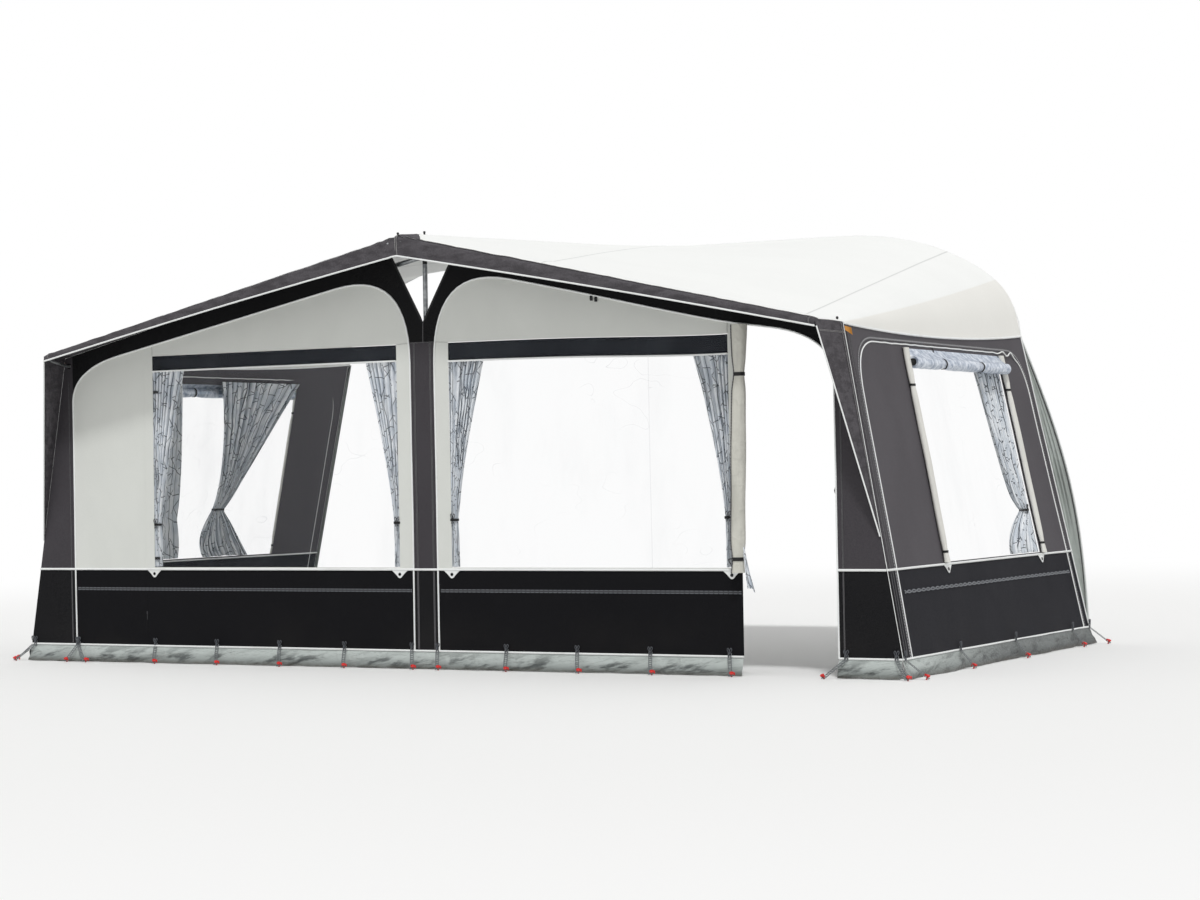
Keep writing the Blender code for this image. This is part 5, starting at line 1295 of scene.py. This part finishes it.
def silverRing(side, share):
    y = mixed(awning.sideWindowY[0] - silver.past, awning.sideWindowY[1] + silver.past, share)
    waist = sum(peak(share, at, 0.035) for at in silver.straps)
    ring = []
    for turn in turns(silver.sides):
        crumple = ripple(0.0025, math.cos(turn) * 2.0, share * 22.0, math.sin(turn) * 2.0 + side)
        lip = 0.003 * math.exp(-((turn - 4.4) % math.tau) / 0.45) * (1.0 - waist)
        radius = silver.radius - silver.waist * waist + crumple + lip
        ring.append(Vector((side * (silverX(y) + radius * math.cos(turn)), y,
                            silver.z + radius * math.sin(turn))))
    return ring


def silverBandPoint(side, down, along):
    y = mixed(awning.sideWindowY[0] - silver.bandPast, awning.sideWindowY[1] + silver.bandPast, along)
    z = mixed(silver.bandTop, silver.z + silver.radius * 0.7, down)
    crumple = ripple(1.0, y * 16.0, down * 2.0, 88.0 + side) + ripple(0.5, y * 40.0, z * 30.0, 5.0)
    lift = mixed(0.003, silver.radius * 1.6, down ** 1.4) + 0.004 * crumple * math.sin(math.pi * down)
    return sideSpot(side, y, z, lift)


def hubMiddle(centre, normal):
    return normal.z > 0.9 and centre.xy.length < 0.002


hub = rigidModel("blindHub", "plastic", 24, 0.021, 0.006, [
    (topFace(0.005), (0.0, 0.0, 0.0), 0.72), (topFace(0.005), (0.0, 0.0, -0.003), 1.0),
    (hubMiddle, (0.0, 0.0, 0.0), 0.35), (hubMiddle, (0.0, 0.0, 0.004), 1.0)], 0.0006)
for side, label in sides:
    rings = [silverRing(side, share) for share in shares(silver.rows)]
    tubePiece("sideBlind" + label, rings, "silver", "side_blind_" + label.lower())
    for number, share in enumerate(silver.straps):
        ring = rings[round(share * silver.rows)]
        strapRound("sideBlindStrap%s%d" % (label, number + 1), ring, middleOf(ring), *silver.strap)
    rows = [[silverBandPoint(side, down, along) for along in shares(silver.bandColumns)]
            for down in shares(silver.bandRows)]
    gridPiece("sideBlindBand" + label, rows, "silver", silver.bandThickness)
    for y, axis, end in ((awning.sideWindowY[0] - silver.past, -1.0, "Front"),
                         (awning.sideWindowY[1] + silver.past, 1.0, "Rear")):
        placed(hub, "sideBlindHub" + label + end, (side * silverX(y), y, silver.z), (0.0, axis, 0.0))
    loop = [sideSpot(side, silver.loopY + u, silver.loopZ - v, 0.004 + w) for u, v, w in loopBends]
    tape("sideLoop" + label, [smoothLine(loop)], 0.004, "strap", sideFacing(side), thickness=0.0016)
bpy.data.objects.remove(hub)
print("stage: window flaps and silver blinds")

# Draught strips between the side walls and the rail
draught = Sizes(rows=90, columns=14, foot=0.14, top=1.932, underlap=0.02, bulge=0.10, edgeIn=0.0044,
                fold=0.009, thickness=0.0014, seamEnds=(0.15, 1.92), seamIn=0.012, seamWidth=0.007)


def draughtOuter(z):
    share = (awning.railEndZ - z) / (awning.railEndZ - awning.hemZ)
    return sideX(awning.depth, z) + draught.bulge * math.sin(math.pi * min(1.0, max(0.0, share)))


for side, label in sides:
    rows = []
    for z in [mixed(draught.foot, draught.top, up) for up in shares(draught.rows)]:
        inner, outer = sideX(awning.depth, z) - draught.underlap, draughtOuter(z) - draught.edgeIn
        row = []
        for share in shares(draught.columns):
            fold = math.sin(math.pi * share) * ripple(draught.fold, share * 9.0, z * 1.6, 80.0 + side)
            row.append(Vector((side * mixed(inner, outer, share), awning.depth - 0.002 + fold, z)))
        rows.append(row)
    gridPiece("draughtStrip" + label, rows, "draught", draught.thickness,
                       "draught_strip_" + label.lower())
    edge = [Vector((side * (draughtOuter(z) - draught.seamIn), awning.depth - 0.0035, z))
            for z in [mixed(*draught.seamEnds, share) for share in shares(60)]]
    tape("draughtSeam" + label, [edge], draught.seamWidth, "darkTape", thickness=0.001)

# Mud flaps
flap = Sizes(splay=0.036, rows=16, top=0.1035, foot=0.0025, step=0.014, wave=0.026, lift=0.006, height=0.11)
flapRuns = [("mudFlapFront", (-2.9797, 0.0), (2.05, 0.0), (0.0, -1.0), "mud_flap_front"),
            ("mudFlapFrontCorner", (2.615, 0.0), (2.9797, 0.0), (0.0, -1.0), "mud_flap_front_corner"),
            ("mudFlapSideLeft", (-2.98, 0.003), (-2.98, 2.995), (-1.0, 0.0), "mud_flap_side_left"),
            ("mudFlapSideRight", (2.98, 0.003), (2.98, 2.995), (1.0, 0.0), "mud_flap_side_right")]


def flapPoint(spot, out, drop, seed):
    at = spot.x + spot.y
    wave = ripple(1.0, at * 3.4 + drop * 1.4, drop * 1.2, seed)
    wave += ripple(0.6, at * 9.0 + drop * 2.6, drop * 2.0, seed + 4.0)
    start = frontHang(spot.x, flap.top) if abs(out.y) else 0.0
    reach = flap.splay * drop + flap.wave * wave * drop
    z = flap.top * (1.0 - drop) + flap.foot + flap.lift * eased(drop) * abs(wave)
    return Vector((spot.x + out.x * reach, spot.y + out.y * reach + start * (1.0 - drop), z))


for number, (name, start, end, out, node) in enumerate(flapRuns):
    along = shares(round(math.dist(start, end) / flap.step))
    rows = [[flapPoint(Vector(start).lerp(Vector(end), share), Vector(out), drop, 90.0 + number)
             for share in along] for drop in shares(flap.rows)]
    gridPiece(name, rows, "flap", 0.0016, node)
print("stage: draught strips and mud flaps")

# Ladder straps and pegs along the hem
ladder = Sizes(foot=0.0035, top=0.124, kneeOut=0.0095, knee=0.100, end=0.004, reach=0.092, guyReach=0.14,
               width=0.024, rail=0.004, thickness=0.0022, rung=0.014, pegBack=0.0155, pegLean=0.024,
               pegHeight=0.055, bow=0.72, bowHeight=0.118, bowCord=0.0026, drift=0.045, scatter=0.02)
frontShares = (0.195, 0.289, 0.382, 0.476, 0.571, 0.606, 0.699, 0.792, 0.885, 0.983)
sideShares = (0.006, 0.27, 0.56, 0.89, 0.994)
pegModel = rigidModel("pegModel", "red", 16, 0.0045, 0.014, [
    (topFace(0.010), (0.0, 0.0, 0.005), 1.9), (topFace(0.010), (0.0, 0.0, 0.002), 1.4),
    (topFace(0.010), (0.0, 0.0, 0.007), 1.0), (topFace(0.010), (0.0, 0.0, 0.002), 0.72),
    (lambda centre, normal: normal.x > 0.9 and 0.020 < centre.z < 0.029, (0.008, 0.0, 0.0), 0.85),
    (lambda centre, normal: normal.z < -0.6 and centre.x > 0.012, (0.001, 0.0, -0.010), 0.7)], 0.0008)
# Each front strap's place along the hem and its slide, where one is given
places = [(-2.946, -0.10), (-2.605, -0.03), (-2.595, 0.11)]
places += [(mixed(-2.966, 2.05, s), 0.0) for s in frontShares]
places += [(2.659, -0.10), (2.950, 0.09)]
ladderWalls = [("Front", Vector((1.0, 0.0, 0.0)), Vector((0.0, -1.0, 0.0)), places, ladder.drift, ())]
for side, label in sides:
    places = [(mixed(*awning.sideEnds, s), 0.0) for s in sideShares]
    ladderWalls.append((label, Vector((0.0, 1.0, 0.0)), Vector((side, 0.0, 0.0)), places, 0.0,
                        (0, len(places) - 1)))
rise = Vector((0.0, 0.0, 1.0))
for label, along, out, places, drift, guys in ladderWalls:
    strips, bows = [], []
    base = Vector() if label == "Front" else out * awning.hemX
    half = along * (ladder.width - ladder.rail) / 2
    for number, (at, slide) in enumerate(places):
        reach = ladder.guyReach if number in guys else ladder.reach
        start = base + along * at
        slide = slide or drift + ripple(ladder.scatter, at * 3.0, 7.0, 2.0)
        line = [start + out * ladder.foot + rise * ladder.top,
                start + out * ladder.kneeOut + rise * ladder.knee,
                start + along * slide + out * reach + rise * ladder.end]
        strips += [[p - half for p in line], [p + half for p in line]]
        count = int((line[2] - line[1]).length / ladder.rung)
        rungs = [line[1].lerp(line[2], (k + 0.2) / (count + 0.4)) for k in range(count + 1)]
        strips += [[spot - half, spot + half] for spot in rungs]
        bows.append(bowLine(start + out * 0.004 + rise * ladder.bowHeight, along, out, ladder.bow))
        lean = along * slide * 0.2 + out * ladder.pegLean + rise * ladder.pegHeight
        placed(pegModel, "peg%s%02d" % (label, number + 1),
               start + along * slide + out * (reach - ladder.pegBack), lean,
               math.degrees(math.atan2(out.y, out.x)))
    tape("pegLadders" + label, strips, ladder.rail, "ladder", out * 0.7 + rise * 0.7,
         "peg_straps_" + label.lower(), thickness=ladder.thickness)
    cord("pegBows" + label, bows, ladder.bowCord, "cord", out)
bpy.data.objects.remove(pegModel)

# Pins of the frame through the roof, rings of the pole holes, loops and a small tab
pin = Sizes(x=2.62, y=0.046, over=0.002)
poleRing = Sizes(gap=0.002, radius=0.0024)
archLoop = Sizes(places=(1.139, 1.168), bends=((0.004, 0.004), (0.018, 0.008), (0.032, 0.004)), width=0.017,
                 thickness=0.0024)
eaveTab = Sizes(y=0.012, z=1.886, bow=0.008, heights=(0.024, 0.040), fall=0.012, lifts=(0.003, 0.039))
pinModel = rigidModel("pinModel", "plastic", 20, 0.006, 0.0022, [
    (topFace(0.002), (0.0, 0.0, 0.0), 0.38), (topFace(0.002), (0.0, 0.0, 0.010), 1.0),
    (topFace(0.002), (0.0, 0.0, 0.003), 1.5), (topFace(0.002), (0.0, 0.0, 0.006), 0.4)], 0.0006)
for name, spot in {"Ridge": (0.0, pin.y, 2.5315), "Canopy": (0.0, -0.235, 2.505),
                   "CornerLeft": (-pin.x, pin.y, gableZ(pin.x) + pin.over),
                   "CornerRight": (pin.x, pin.y, gableZ(pin.x) + pin.over)}.items():
    placed(pinModel, "roofPin" + name, spot)
bpy.data.objects.remove(pinModel)
holeRings = [[frontSpot(x, z, 0.002) for x, z in
              closed(circled(awning.eyelet + poleRing.gap, 24, side * awning.eyeletX, awning.eyeletZ))]
             for side in (-1, 1)]
cord("poleHoleRings", holeRings, poleRing.radius, "plastic", sides=8)
tape("archLoops", [[frontSpot(x, archZ(x) - drop, out) for drop, out in archLoop.bends]
                   for x in archLoop.places], archLoop.width, "strap", thickness=archLoop.thickness)
for side, label in sides:
    rows = [[sideSpot(side, eaveTab.y + eaveTab.bow * math.sin(c * 2.6),
                      eaveTab.z - mixed(*eaveTab.heights, c) * r - eaveTab.fall * c,
                      mixed(*eaveTab.lifts, c)) for c in shares(6)] for r in shares(8)]
    gridPiece("eaveTab" + label, rows, "orange")
print("stage: pegs, pins and loops")

# Solids of the frame keep their shape and get their finish
nodeLooks = {"leg_outer": "steel", "leg_inner": "steel", "leg_foot": "plastic", "leg_knob": "plastic",
             "gable_pole": "steel", "roof_pole": "steel", "centre_bracket": "plastic",
             "corner_bracket": "plastic", "veranda_pole": "steel", "rail_bead": "piping",
             "zip_slider": "metal"}
for name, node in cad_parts.items():
    for start, look in nodeLooks.items():
        if name.startswith(start):
            for slot in node.material_slots:
                slot.material = looks[look]

# Camera
view = Sizes(place=(8.5895, -14.6825, 1.1278), yaw=29.1242, pitch=0.4605, roll=-1.0582, lens=81.459)
camera = bpy.data.objects.new("camera", bpy.data.cameras.new("camera"))
scene.collection.objects.link(camera)
camera.data.lens = view.lens
camera.data.sensor_width = 36.0
camera.data.clip_end = 200.0
yawed = Matrix.Rotation(math.radians(view.yaw), 4, "Z")
pitched = Matrix.Rotation(math.radians(90 + view.pitch), 4, "X")
rolled = Matrix.Rotation(math.radians(view.roll), 4, "Z")
camera.matrix_world = Matrix.Translation(view.place) @ yawed @ pitched @ rolled
scene.camera = camera

# Floor, lamps and surroundings
stageLook = Sizes(floor="f2f2f1", floorRadius=90.0, under=0.0005, fade=(6.0, 16.0), sun=1.6, sky=0.56,
                  softness=7.0, towards=(0.283, -0.431, 0.858))
bpy.ops.object.select_all(action="DESELECT")
bpy.ops.mesh.primitive_circle_add(vertices=96, radius=stageLook.floorRadius, fill_type="NGON",
                                  location=(0.0, 0.0, -stageLook.under))
floor = bpy.context.object
floor.name = "floor"
bpy.ops.object.transform_apply(location=True)
ground = Finish("paleFloor")
x, y, z = ground.split(ground.coords())
ground.wear(Base_Color=stageLook.floor, Roughness=0.9)
glow = ground.node("ShaderNodeEmission", None, {"Color": "ffffff", "Strength": 1.0})
seen = ground.node("ShaderNodeLightPath", output="Is Camera Ray")
far = (x * x + y * y).root().step(*stageLook.fade) * seen
ground.feed(ground.tree.nodes["Material Output"].inputs["Surface"], ground.node(
    "ShaderNodeMixShader", None, {0: far, 1: Socket(ground, ground.shader.outputs[0]), 2: glow}))
floor.data.materials.append(ground.material)

sun = bpy.data.objects.new("keyLight", bpy.data.lights.new("keyLight", "SUN"))
sun.data.energy = stageLook.sun
sun.data.angle = math.radians(stageLook.softness)
sun.rotation_mode = "QUATERNION"
sun.rotation_quaternion = Vector(stageLook.towards).to_track_quat("Z", "Y")
scene.collection.objects.link(sun)
world = bpy.data.worlds.new("surroundings")
scene.world = world
world.use_nodes = True
around = Finish.__new__(Finish)
around.tree = world.node_tree
sky = around.node("ShaderNodeBackground", None, {"Color": "ffffff", "Strength": stageLook.sky})
clear = around.node("ShaderNodeBackground", None, {"Color": "ffffff", "Strength": 1.0})
seen = around.node("ShaderNodeLightPath", output="Is Camera Ray")
for kind in ("Is Glossy Ray", "Is Transmission Ray"):
    seen = seen.atLeast(around.node("ShaderNodeLightPath", output=kind))
around.feed(around.tree.nodes["World Output"].inputs["Surface"],
            around.node("ShaderNodeMixShader", None, {0: seen, 1: sky, 2: clear}))
print("stage: camera, floor and lamps")
